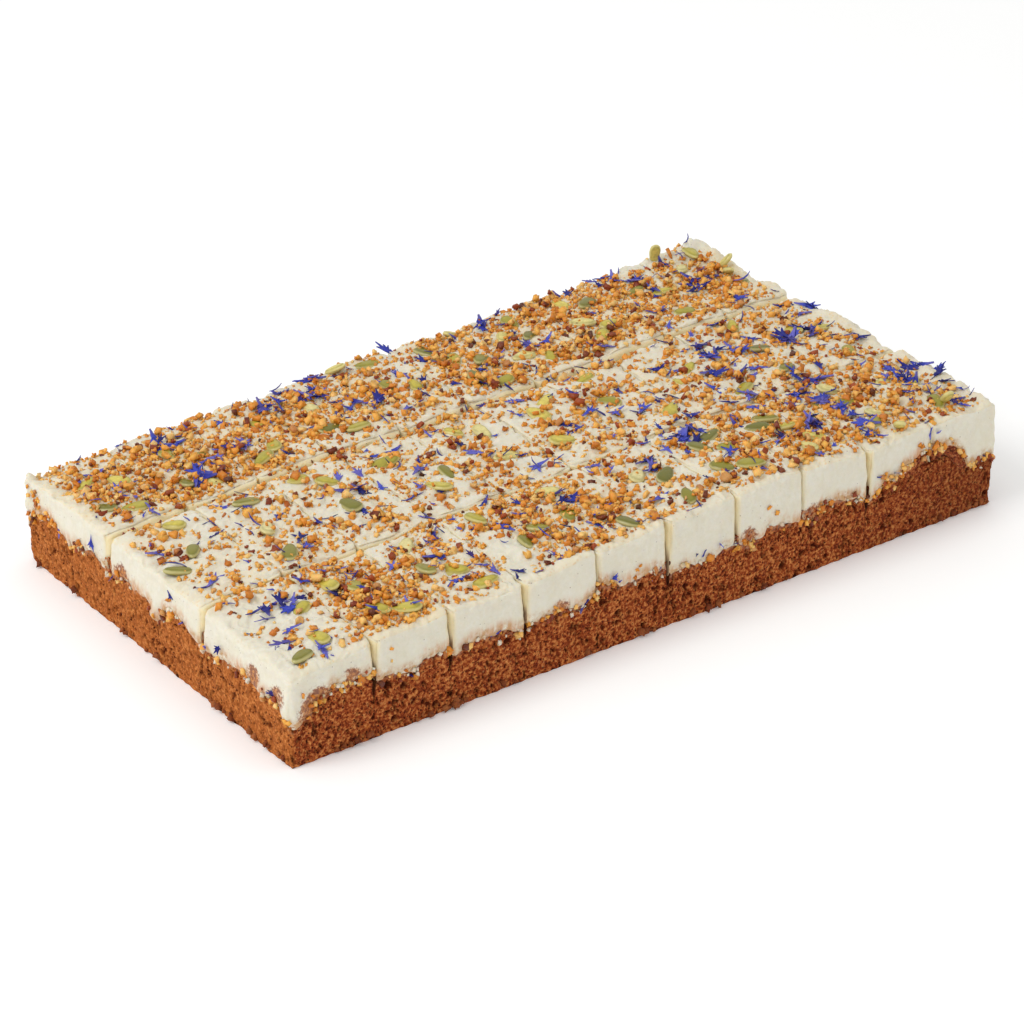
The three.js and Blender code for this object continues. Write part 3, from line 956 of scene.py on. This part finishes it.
def icing_finish():
    material, tree, shader, place = new_material(
        "cream_cheese_icing",
        Roughness=0.5,
        Specular_IOR_Level=0.4,
        Subsurface_Weight=0.35,
        Subsurface_Scale=3 * MM,
    )
    shader.inputs["Subsurface Radius"].default_value = (1.0, 0.75, 0.45)
    base = mixed(tree, grained(tree, place, 9, 1.0), colour("#E6E2D4"), colour("#E0D9C4"))
    base = tinted(tree, base, marked(tree, "cut"), 0.8, "#EBD8A6")

    # Fine dust of the crumbs, and their warm light on the icing
    strewn_share = marked(tree, "strewn")
    dust = times(tree, specked(tree, place, 2.1, 0.75, 0.75), strewn_share)
    base = tinted(tree, base, dust, 0.8, "#DDAE68")
    base = tinted(tree, base, strewn_share, 0.5, "#EBD3A0")
    base = tinted(tree, base, grained(tree, place, 2.6, 1.6), 0.22, "#CFC6A4")

    # Sponge drawn up into the skirt by the knife, most of it near the border
    over = marked(tree, "above")
    smear = remap(tree, over, 7.0, 0.6)
    tall = vectors(tree, "MULTIPLY", place, (1, 1, 0.22))
    haze = times(tree, grained(tree, tall, 2.4, 2.4), grained(tree, place, 26, 4.0))
    base = tinted(tree, base, times(tree, haze, remap(tree, over, 8.0, 0.5)), 0.9, "#CE8850")
    uneven = grained(tree, place, 3.2, 1.8)
    broad = grained(tree, place, 17, 3.0)
    share = times(tree, smear, times(tree, uneven, plus(tree, broad, 0.22)))
    base = tinted(tree, base, share, 1.5, "#C39A6C")

    # Rusty stains
    grit = grained(tree, place, 1.5, 3.0)
    spread = plus(tree, times(tree, plus(tree, uneven, grit), 0.5), 0.35)
    stain = remap(tree, times(tree, marked(tree, "stain"), spread), 0.2, 0.58, 0.0, 0.9)
    base = mixed(tree, stain, base, mixed(tree, grit, colour("#C67C30"), colour("#7A3408")))

    # Caught crumbs, painted shade in the clefts at the cuts, and spice dots
    caught = times(tree, specked(tree, place, 1.8, 0.65, 0.5), times(tree, smear, broad))
    base = tinted(tree, base, caught, 0.8, "#A8682E")
    # Painted shade in the clefts
    base = tinted(tree, base, marked(tree, "cleft"), 0.8, "#7A5030")
    base = tinted(tree, base, specked(tree, place, 2.4, 0.3, 0.22), 0.7, "#6A3A22")

    # Sponge where the icing is torn off
    torn = remap(tree, over, 0.1, -0.5)
    base = mixed(tree, torn, base, mixed(tree, 0.15, sponge_colour(tree, place), colour("#7A2C08")))
    tree.links.new(plus(tree, times(tree, torn, 0.45), 0.5), shader.inputs["Roughness"])
    return finished(material, tree, shader, base, grained(tree, place, 1.4, 1.0, "Height"), 0.7, 0.6)


def topping_finish(name, stops, mottle, marks, depth, **values):
    """A topping's finish: each one's own tint, mottled, with a colour over each marked part of it."""
    material, tree, shader, place = new_material(name, **values)
    base = ramp(tree, marked(tree, "tint"), stops)
    size, contrast, strength, code = mottle
    base = tinted(tree, base, grained(tree, place, size, contrast), strength, code)
    for mark, strength, code in marks:
        base = tinted(tree, base, marked(tree, mark), strength, code)
    height = grained(tree, place, size, contrast, "Height")
    return finished(material, tree, shader, base, height, depth, 0.5)


def crumb_finish(name, stops, rough):
    values = {"Specular_IOR_Level": 0.45, "Subsurface_Weight": 0.2, "Subsurface_Scale": 1 * MM}
    return topping_finish(name, stops, (1.2, 1.8, 0.25, "#B86A18"), [], 0.5, Roughness=rough, **values)


def seed_finish():
    stops = [(0.0, "#62641A"), (0.25, "#96902A"), (0.55, "#C8B83E"), (0.8, "#E4D262"), (1.0, "#ECE0A0")]
    # Painted shade in a band inside the rim, and a painted highlight along the rim
    marks = [("groove", 0.4, "#5C5A18"), ("rim", 0.6, "#D8CE90")]
    values = {"Roughness": 0.33, "Specular_IOR_Level": 0.55}
    return topping_finish("pumpkin_seed", stops, (2.2, 1.6, 0.38, "#80701C"), marks, 0.4, **values)


def petal_finish(name, stops):
    marks = [("root", 0.45, "#9C8FC8")]
    values = {"Roughness": 0.6, "Specular_IOR_Level": 0.35}
    return topping_finish(name, stops, (0.9, 2.0, 0.4, "#2A2F9C"), marks, 0.3, **values)


sponge_material = sponge_finish()
icing_material = icing_finish()

# Slices with their relief

parts = [portion(row, column) for row in range(rows) for column in range(columns)]
icing_relief = icing_relief_tree()
sponge_relief = sponge_relief_tree()
icings = [shaped(icing_slice(part), icing_relief, {"Material": icing_material}) for part in parts]
sponges = [shaped(sponge_slice(part), sponge_relief, {"Material": sponge_material}) for part in parts]
graph = bpy.context.evaluated_depsgraph_get()
icing_skins = [BVHTree.FromObject(piece, graph) for piece in icings]
sponge_skins = [BVHTree.FromObject(piece, graph) for piece in sponges]


# Toppings

random = np.random.default_rng(11)
seed_length = 12.8
seed_width = 8.8
seed_thickness = 3.2
seed_narrowing = 0.45
crumb_size = 2.25
fine_size = 1.5
topping_margin = 9
seeds_per_slice = 3
petals_per_slice = 2
crumbs_per_slice = 2
tilts = {"seed": 0.25, "petal": 0.1, "crumb": 0.6}
seed_drifts = records("x y reach more", [
    (60, 60, 55, 2), (95, -75, 45, 2), (-150, 70, 30, 1), (-120, -70, 35, 1),
])
across_stride = 0.7548776662
along_stride = 0.569840291
bare_rim = {"left": 6, "right": 10, "near": 5, "far": 2.5}
drop_height = 120

# How each kind rests on the icing: the reach that it covers, its thickness and how deep it sinks in
resting = {"seed": (4.5, 2.4, 0.9), "petal": (2, 0.8, 0.2), "crumb": (1.6, 2.6, 0.7)}
loose_rest = (2, 0.7, 0.1)
solid_crumb_size = 3.6

# Tries for each crumb, the density at which all are kept, and the share kept on a seed
crumb_tries = 8
full_density = 3.4
kept_on_seeds = 0.2

# Clumps of petals: middle and number of florets
petal_clumps = [
    (-79, 92, 6), (-54, 93, 7), (-49, 78, 5), (-34, 66, 4), (-136, 54, 3), (-134, 100, 3), (-168, -64, 5),
    (119, 8, 7), (116, -18, 5), (137, -45, 5), (126, -59, 7), (131, -73, 5), (113, -79, 7), (130, -96, 5),
    (177, -70, 8), (192, -64, 4), (190, -80, 3), (194, 26, 4), (160, -7, 6), (179, -3, 4), (53, -49, 6),
    (100, -45, 5), (141, 86, 4), (164, 70, 4), (179, -95, 3), (-44, 108, 3), (6, 108, 2), (62, 108, 2),
    (128, 109, 3),
]
clump_scatter = 4.2
loose_petals = 230
loose_strands = 260


def part_at(x, y):
    column = int(np.searchsorted(column_edges, x)) - 1
    row = int(np.searchsorted(row_edges, y)) - 1
    return min(max(row, 0), rows - 1) * columns + min(max(column, 0), columns - 1)


def surface_at(x, y):
    """Height of the icing under a place, or None over a gap."""
    start = Vector((x, y, drop_height)) * MM
    hit = icing_skins[part_at(x, y)].ray_cast(start, Vector((0, 0, -1)))[0]
    return None if hit is None or hit.z / MM < sponge_height else hit.z / MM


# How high the toppings are piled over the icing, on a grid
pile_step = 0.5
pile_reach = 0.6
pile_share = 0.8
pile_bare = 0.3
pile = np.zeros((round(slab_length / pile_step) + 1, round(slab_width / pile_step) + 1))


def pile_window(x, y, radius):
    i = round((x + slab_length / 2) / pile_step)
    j = round((y + slab_width / 2) / pile_step)
    reach = max(1, round(radius / pile_step))
    return pile[max(i - reach, 0):i + reach + 1, max(j - reach, 0):j + reach + 1]


def settle(x, y, radius, thickness, sunk):
    """Height at which a piece comes to lie: on the icing, or on what was strewn there before."""
    surface = surface_at(x, y)
    if surface is None:
        return None
    window = pile_window(x, y, radius * pile_reach)
    under = float(np.mean(window)) * pile_share
    base = max(under, -sunk)
    window[:] = np.maximum(window, base + thickness * pile_share)
    return surface + base + thickness / 2 - sunk * (under < pile_bare)


def spot(place, turn, size, kind=0, tint=None):
    return {
        "place": place,
        "turn": tuple(turn),
        "size": size if np.ndim(size) else (size,) * 3,
        "kind": kind,
        "tint": random.random() if tint is None else tint,
    }


def solid_turn(key, tilt):
    """The turn of one of the solids' own toppings."""
    pitch, roll = (tilt * (2 * draw(key, streams[name]) - 1) for name in ("pitch", "roll"))
    turn = 2 * math.pi * draw(key, streams["turn"])
    matrix = Matrix.Rotation(turn, 3, "Z") @ Matrix.Rotation(roll, 3, "X") @ Matrix.Rotation(pitch, 3, "Y")
    return matrix.to_euler()


def solid_places(part):
    """Kind, place and draw number of each topping that the slice's own solid carries."""
    middle = [(part["low"][axis] + part["high"][axis]) / 2 for axis in (0, 1)]
    drifts = [
        d["more"] for d in seed_drifts
        if math.hypot(d["x"] - middle[0], d["y"] - middle[1]) < d["reach"]
    ]
    seeds = seeds_per_slice + sum(drifts)
    kinds = ["seed"] * seeds + ["petal"] * petals_per_slice + ["crumb"] * crumbs_per_slice
    for number, kind in enumerate(kinds):
        shares = (
            (draw(part["number"], streams["across"]) + number * across_stride) % 1,
            (draw(part["number"], streams["along"]) + number * along_stride) % 1,
        )
        x, y = (
            part["low"][axis] + topping_margin
            + shares[axis] * (part["high"][axis] - part["low"][axis] - 2 * topping_margin)
            for axis in (0, 1)
        )
        yield kind, x, y, part["number"] * 40 + number


# Seeds that stand up or lean: place, pitch and turn
leaning_size = (0.95, 0.85, 1)
leaning_tint = 0.85
leaning_lift = 0.32
leaning_seeds = [
    (165, 106, 1.3, 1.2), (190, 80, 0.9, 2.4), (187, 73, 0.5, 0.9), (141, -106, 0.6, 0.9),
    (-32, 106, 0.5, 2.2), (38, 108, 0.45, 0.4), (118, 107, 0.6, 2.8), (176, -100, 0.9, 1.4),
]

spots = {name: [] for name in ("seed", "crumb", "fine", "dark", "petal", "strand", "fleck", "bit")}


def add_piece(kind, x, y, radius, thickness, sunk, turn, size, shape=0):
    height = settle(x, y, radius, thickness, sunk)
    if height is not None:
        spots[kind].append(spot((x, y, height), turn, size, shape))


def pick(count):
    return int(random.integers(count))


def lump_size(wide, across, upward):
    """A lump's width, and random shares of it across and upwards."""
    return wide, wide * random.uniform(*across), wide * random.uniform(*upward)


def random_turn(tilt):
    return Euler((random.normal(0, tilt), random.normal(0, tilt), random.uniform(0, 2 * math.pi)))


def strew_solid_toppings():
    for part in parts:
        for kind, x, y, key in solid_places(part):
            shape = 0 if kind == "seed" else pick(4)
            flat = 0.85 + 0.3 * draw(key, streams["size"])
            size = {"seed": (flat, flat, 1), "petal": 1.0, "crumb": solid_crumb_size}[kind]
            add_piece(kind, x, y, *resting[kind], solid_turn(key, tilts[kind]), size, shape)


def dense_places(count, seeded):
    """Places on the top, thick and thin as the crumbs lie, and few of them on the seeds."""
    tries = count * crumb_tries
    x = random.uniform(-slab_length / 2 + bare_rim["left"], slab_length / 2 - bare_rim["right"], tries)
    y = random.uniform(-slab_width / 2 + bare_rim["near"], slab_width / 2 - bare_rim["far"], tries)
    kept = random.uniform(0, full_density, tries) < crumb_density(x, y)
    places = np.column_stack([x, y])
    i, j = np.round((places + (slab_length / 2, slab_width / 2)) / pile_step).astype(int).T
    kept &= ~seeded[i, j] | (random.random(tries) < kept_on_seeds)
    return places[kept][:count]


def strew_leaning_seeds():
    for x, y, pitch, turn in leaning_seeds:
        place = (x, y, surface_at(x, y) + math.sin(pitch) * seed_length * leaning_lift)
        spots["seed"].append(spot(place, Euler((0, pitch, turn)), leaning_size, tint=leaning_tint))


def strew_crumbs():
    seeded = pile > 1
    for x, y in dense_places(fine_count, seeded):
        size = fine_size * random.uniform(0.5, 1.2)
        shape = lump_size(size, (0.7, 1), (0.6, 1))
        add_piece("fine", x, y, size / 2, size * 0.6, 0.3, random_turn(0.6), shape, pick(4))
    for x, y in dense_places(crumb_count, seeded):
        size = crumb_size * float(np.clip(random.lognormal(-0.06, 0.38), 0.45, 1.9))
        kind = "dark" if random.random() < dark_share else "crumb"
        shape = tuple(size * random.uniform(*share) for share in ((0.95, 1.25), (0.65, 0.95), (0.5, 0.8)))
        turn = random_turn(0.5)
        add_piece(kind, x, y, size / 2, size * 0.6, size * 0.3, turn, shape, pick(6))


def strew_petals():
    for x, y, count in petal_clumps:
        for _ in range(count):
            px = x + random.normal(0, clump_scatter)
            py = y + random.normal(0, clump_scatter)
            size = random.uniform(0.6, 1.25)
            add_piece("petal", px, py, *loose_rest, random_turn(0.35), size, pick(4))
    for kind, count, low, high in (("petal", loose_petals, 0.3, 0.95), ("strand", loose_strands, 0.4, 1.1)):
        for _ in range(count):
            x = random.uniform(-0.97, 0.97) * slab_length / 2
            y = random.uniform(-0.96, 0.98) * slab_width / 2
            size = random.uniform(low, high)
            add_piece(kind, x, y, *loose_rest, random_turn(0.3), size, pick(4))


def face_point(side, along, height):
    """Place and slope of an outer face, of icing or sponge, whichever lies further out."""
    axis, end = side_places[side]
    outward = Vector([(2 * end - 1) * (axis == number) for number in range(3)])
    start = outward * ((slab_length, slab_width)[axis] / 2 + 20)
    start[1 - axis] = along
    start[2] = height
    part = part_at(*(start - outward * 22)[:2])
    hits = [skin[part].ray_cast(start * MM, -outward) for skin in (icing_skins, sponge_skins)]
    hits = [hit for hit in hits if hit[0] is not None]
    if not hits:
        return None
    place, slope = min(hits, key=lambda hit: hit[3])[:2]
    return place / MM, slope


def stick(kind, side, along, height, size, shape, turn=None):
    found = face_point(side, along, height)
    if found is not None:
        place = found[0] + found[1] * float(np.min(size)) * 0.3
        turn = random_turn(2) if turn is None else turn
        spots[kind].append(spot(tuple(place), turn, size, shape))


def border_under(side, along):
    """Height at which the white of the icing begins on an outer face."""
    axis, end = side_places[side]
    place = [along, along]
    place[axis] = (2 * end - 1) * ((slab_length, slab_width)[axis] / 2 - 1)
    border = float(border_height(parts[part_at(*place)], axis, end, along))
    return max(border, float(crust_height(axis, end, np.array([along]))[0]))


def strew_borders():
    """Bits of icing, crumbs and petals along the skirt's border, and sponge crumbs at the foot."""
    for side, (axis, _) in side_places.items():
        half = (slab_width, slab_length)[axis] / 2
        for kind, spacing, size, spread in border_strewing:
            for along in random.uniform(1 - half, half - 1, round(4 * half / spacing)):
                if ripple(along, 9, 140 + axis) + ripple(along, 4, 142 + axis) < random.uniform(-1, 1):
                    continue
                wide = size * random.uniform(0.35, 1.4)
                if kind == "bit":
                    height = 0.5 * wide + 0.4 + abs(random.normal(0, 0.9))
                else:
                    height = border_under(side, along) + random.normal(-0.4, 1) * spread
                shape = lump_size(wide, (0.6, 1), (0.5, 1))
                stick(kind, side, along, height, shape, pick(4))
        for along in random.uniform(1 - half, half - 1, round(half / 13)):
            height = border_under(side, along) + random.uniform(-3, 9)
            turn = Euler((random.uniform(-1, 1), random.uniform(-1, 1), random.uniform(0, 6.3)))
            stick("petal", side, along, height, random.uniform(0.3, 0.8), pick(4), turn)


def strew_border_clusters():
    for side, along, count in border_clusters:
        for _ in range(count):
            place = along + random.normal(0, cluster_scatter)
            height = border_under(side, place) + random.normal(0.2, 1.6)
            wide = random.uniform(1.4, 3.2)
            shape = lump_size(wide, (0.6, 0.9), (0.5, 0.8))
            kind = "dark" if random.random() < cluster_dark_share else "crumb"
            stick(kind, side, place, height, shape, pick(6))


def strew_pressed_crumbs():
    """Crumbs pressed into the skirt's face, above its border."""
    for side, along, height, count in pressed_crumbs:
        for _ in range(count):
            wide = random.uniform(1.3, 2.6)
            shape = lump_size(wide, (0.6, 0.9), (0.5, 0.8))
            place = along + random.normal(0, press_scatter[0])
            level = height + random.normal(0, press_scatter[1])
            stick("crumb", side, place, level, shape, pick(6))


def merged(shells):
    """Several shells as one set of points and faces."""
    points = np.concatenate([shell[0] for shell in shells])
    starts = np.cumsum([0] + [len(shell[0]) for shell in shells[:-1]])
    faces = np.concatenate([shell[1] + start for shell, start in zip(shells, starts)])
    return points, faces


def pebble(number):
    """A rough lump, 1 mm across."""
    line = [-0.5, 0, 0.5]
    points, faces = shell_of([line, line, [-0.5, 0.5]])
    length = np.linalg.norm(points, axis=1)[:, None]
    points = points * (0.5 / length) ** 0.35
    shake = np.stack([draw(np.arange(len(points)) + 60 * number, 110 + axis) for axis in range(3)], -1)
    return points * 0.94 + 0.42 * (shake - 0.5), faces, {}


def chip(number):
    """A small angular chip, 1 mm across."""
    points, faces = shell_of([[-0.5, 0, 0.5], [-0.5, 0.5], [-0.5, 0.5]])
    shake = np.stack([draw(np.arange(len(points)) + 60 * number, 130 + axis) for axis in range(3)], -1)
    return points * (0.8, 0.8, 0.8) + 0.34 * (shake - 0.5), faces, {}


def seed_shape():
    """A pumpkin seed: a flat drop with a raised middle and a thin rim."""
    lines = [np.linspace(-1, 1, 13), np.linspace(-1, 1, 9), np.array([-1, 0, 1])]
    points, faces = shell_of(lines)
    u = points[:, 0] * np.sqrt(1 - points[:, 1] ** 2 / 2)
    v = points[:, 1] * np.sqrt(1 - points[:, 0] ** 2 / 2)
    radius = np.clip(np.hypot(u, v), 0, 1)
    dome = 0.24 + 0.76 * np.sqrt(np.clip(1 - radius ** 2.4, 0, 1))
    narrowing = 1 - seed_narrowing * (u / 2 + 0.5)
    waist = 1 - 0.04 * (np.abs(points[:, 2]) > 0.5) * (radius > 0.95)
    x = u * seed_length / 2 * waist
    y = v * seed_width / 2 * narrowing * waist
    z = points[:, 2] * dome * seed_thickness / 2
    # Masks for painted light: a painted highlight along the thin rim, and painted shade in a band just
    # inside it
    rim = smooth(radius, 0.88, 1)
    return np.stack([x, y, z], -1), faces, {"rim": rim, "groove": smooth(radius, 0.6, 0.86) * (1 - rim)}


def ribbon(start, length, turn, widths, lift, trough=0.0, thickness=0.28):
    """A thin closed strip. Its widths run from root to tip, and lift is how far the tip curls up."""
    stations = np.linspace(0, 1, len(widths))
    across_lines = np.array([-0.5, 0, 0.5]) if trough else np.array([-0.5, 0.5])
    points, faces = shell_of([stations, across_lines, np.array([-0.5, 0.5])])
    t, across, through = points.T
    width = np.interp(t, stations, widths)
    bend = turn * (0.4 + 0.6 * t)
    x = start + t * length * np.cos(bend) - across * width * np.sin(bend)
    y = t * length * np.sin(bend) + across * width * np.cos(bend)
    share = x / 12
    z = lift * share ** 2 + through * thickness + trough * np.abs(across) * 2 * (0.4 + 0.6 * t)
    return np.stack([x, y, z], -1), faces


def floret(number):
    """A cornflower floret: a narrow tube that opens into pointed lobes."""
    lobes = 4 + number % 3
    lift = (3.2, 1.2, 4.6, 2.2)[number]
    shells = [ribbon(-6, 6.5, 0, [0.8, 1.2, 1.9, 2.7], lift, 0.8)]
    for lobe in range(lobes):
        share = lobe / (lobes - 1) - 0.5
        length = 3.6 + 3.8 * draw(lobe, 120 + number)
        widths = [1.4, 1.75, 1.6, 1.0, 0.2]
        lean = lift * (0.5 + draw(lobe, 127 + number))
        turn = share * (1.1 + 0.6 * draw(lobe, 125 + number))
        shells.append(ribbon(-0.4, length, turn, widths, lean, 0.25))
    points, faces = merged(shells)
    return points, faces, {"root": smooth(points[:, 0], -1, -6)}


def strand(number):
    """A thin curled thread of a petal."""
    turn = (0.5, -0.9, 1.3, -0.3)[number]
    lift = (1.6, 2.6, 0.8, 3.4)[number]
    points, faces = ribbon(-5, 10, turn, [0.3, 0.75, 0.9, 0.8, 0.15], lift)
    return points, faces, {"root": smooth(points[:, 0], 0, -5)}


def strewn(name, kind, shapes, material, roughness, smoothed=True):
    """One piece with a shape on each spot of a kind."""
    found = spots[kind]
    box = bpy.data.collections.new(f"{name} shapes")
    for number, (points, faces, values) in enumerate(shapes):
        model = piece_from(f"{name}_shape_{number}", points, faces, values)
        bpy.context.scene.collection.objects.unlink(model)
        box.objects.link(model)
    values = {key: [s[key] for s in found] for key in ("turn", "size", "kind", "tint")}
    piece = piece_from(name, np.array([s["place"] for s in found]), np.zeros((0, 4)), values)
    sizes = {"Shapes": box, "Material": material, "Roughness height": roughness * MM, "Smooth": smoothed}
    shaped(piece, strewn_pieces, sizes)
    for model in list(box.objects):
        bpy.data.objects.remove(model)
    bpy.data.collections.remove(box)
    return piece


strew_solid_toppings()
strew_leaning_seeds()
strew_crumbs()
strew_petals()
strew_borders()
strew_border_clusters()
strew_pressed_crumbs()
strewn_pieces = strewn_tree()
golden = [(0.0, "#C8721A"), (0.25, "#E8952C"), (0.6, "#FBBA50"), (0.92, "#FED484"), (1.0, "#B05814")]
dark = [(0.0, "#481004"), (0.4, "#7A2408"), (0.75, "#A4420F"), (1.0, "#340C04")]
blue = [(0.0, "#1A1850"), (0.25, "#2C3196"), (0.55, "#4656CC"), (0.85, "#7C78D2"), (1.0, "#3A2064")]
navy = [(0.0, "#15123A"), (0.4, "#282468"), (0.75, "#4448A8"), (1.0, "#34184A")]
sponge_tints = [(0.0, "#5E2410"), (0.5, "#82401E"), (1.0, "#A05E32")]
icing_tints = [(0.0, "#E2D6BC"), (0.6, "#EAE4D2"), (1.0, "#D8C096")]
pebbles = [pebble(number) for number in range(6)]
chips = [chip(number) for number in range(4)]
golden_finish = crumb_finish("golden_crumb", golden, 0.4)
toppings = [
    strewn("nut_crumbs", "crumb", pebbles, golden_finish, 0.35),
    strewn("fine_nut_crumbs", "fine", chips, golden_finish, 0.2),
    strewn("dark_crumbs", "dark", pebbles, crumb_finish("dark_crumb", dark, 0.4), 0.3),
    strewn("icing_flecks", "fleck", pebbles, crumb_finish("icing_fleck", icing_tints, 0.55), 0.3),
    strewn("sponge_crumbs", "bit", pebbles, crumb_finish("sponge_crumb", sponge_tints, 0.9), 0.3),
    strewn("pumpkin_seeds", "seed", [seed_shape()], seed_finish(), 0.15),
    strewn("petals", "petal", [floret(n) for n in range(4)], petal_finish("petal", blue), 0.3),
    strewn("petal_strands", "strand", [strand(n) for n in range(4)], petal_finish("strand", navy), 0.3),
]

# Everything rides on the cake's one body, and each slice stands for its solid

for part, icing, sponge in zip(parts, icings, sponges):
    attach(icing, "root")
    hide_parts(f"icing_{part['place']}")
    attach(sponge, "root")
    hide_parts(f"sponge_{part['place']}")
for piece in toppings:
    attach(piece, "root")


# Floor, light and camera

def stage():
    """A pale floor, wide enough to fill the view from any side."""
    reach = 9000
    points = np.array([(-reach, -reach, 0), (reach, -reach, 0), (reach, reach, 0), (-reach, reach, 0)])
    floor = piece_from("floor", points, np.array([[0, 1, 2, 3]]))
    material, tree, shader, place = new_material(
        "floor", Roughness=0.9, Specular_IOR_Level=0.1, Emission_Strength=0.1
    )
    shader.inputs["Emission Color"].default_value = (1, 1, 1, 1)
    cloud = grained(tree, place, 60, 0.3)
    tree.links.new(mixed(tree, cloud, colour("#FAFAF9"), colour("#FCFCFB")), shader.inputs["Base Color"])
    floor.data.materials.append(material)


def aimed(name, data, place, back):
    """Adds a lamp or a camera that looks away from its back."""
    made = bpy.data.objects.new(name, data)
    made.location = place
    made.rotation_mode = "QUATERNION"
    made.rotation_quaternion = (-back).to_track_quat("-Z", "Y")
    bpy.context.scene.collection.objects.link(made)
    return made


def lights():
    """Even white surroundings, and a wide soft light from the left and above."""
    world = bpy.data.worlds.new("studio")
    world.use_nodes = True
    background = world.node_tree.nodes["Background"]
    background.inputs["Color"].default_value = (1, 1, 1, 1)
    background.inputs["Strength"].default_value = 0.79
    bpy.context.scene.world = world
    key = bpy.data.lights.new("key", "AREA")
    key.shape = "DISK"
    key.size = 1.1
    key.energy = 18.8
    place = Vector((-1.55, 0.15, 1.75))
    aimed("key", key, place, place)


def camera():
    """The view from above the near left corner."""
    azimuth, elevation = math.radians(-36.272), math.radians(28.227)
    distance = 1451.4 * MM
    aim = Vector((-19, -20.8, 25)) * MM
    level = math.cos(elevation)
    back = Vector((math.sin(azimuth) * level, -math.cos(azimuth) * level, math.sin(elevation)))
    data = bpy.data.cameras.new("camera")
    data.sensor_width = 36
    data.lens = 110.74
    bpy.context.scene.camera = aimed("camera", data, aim + back * distance, back)


stage()
lights()
camera()
bpy.context.scene.view_settings.view_transform = "Standard"
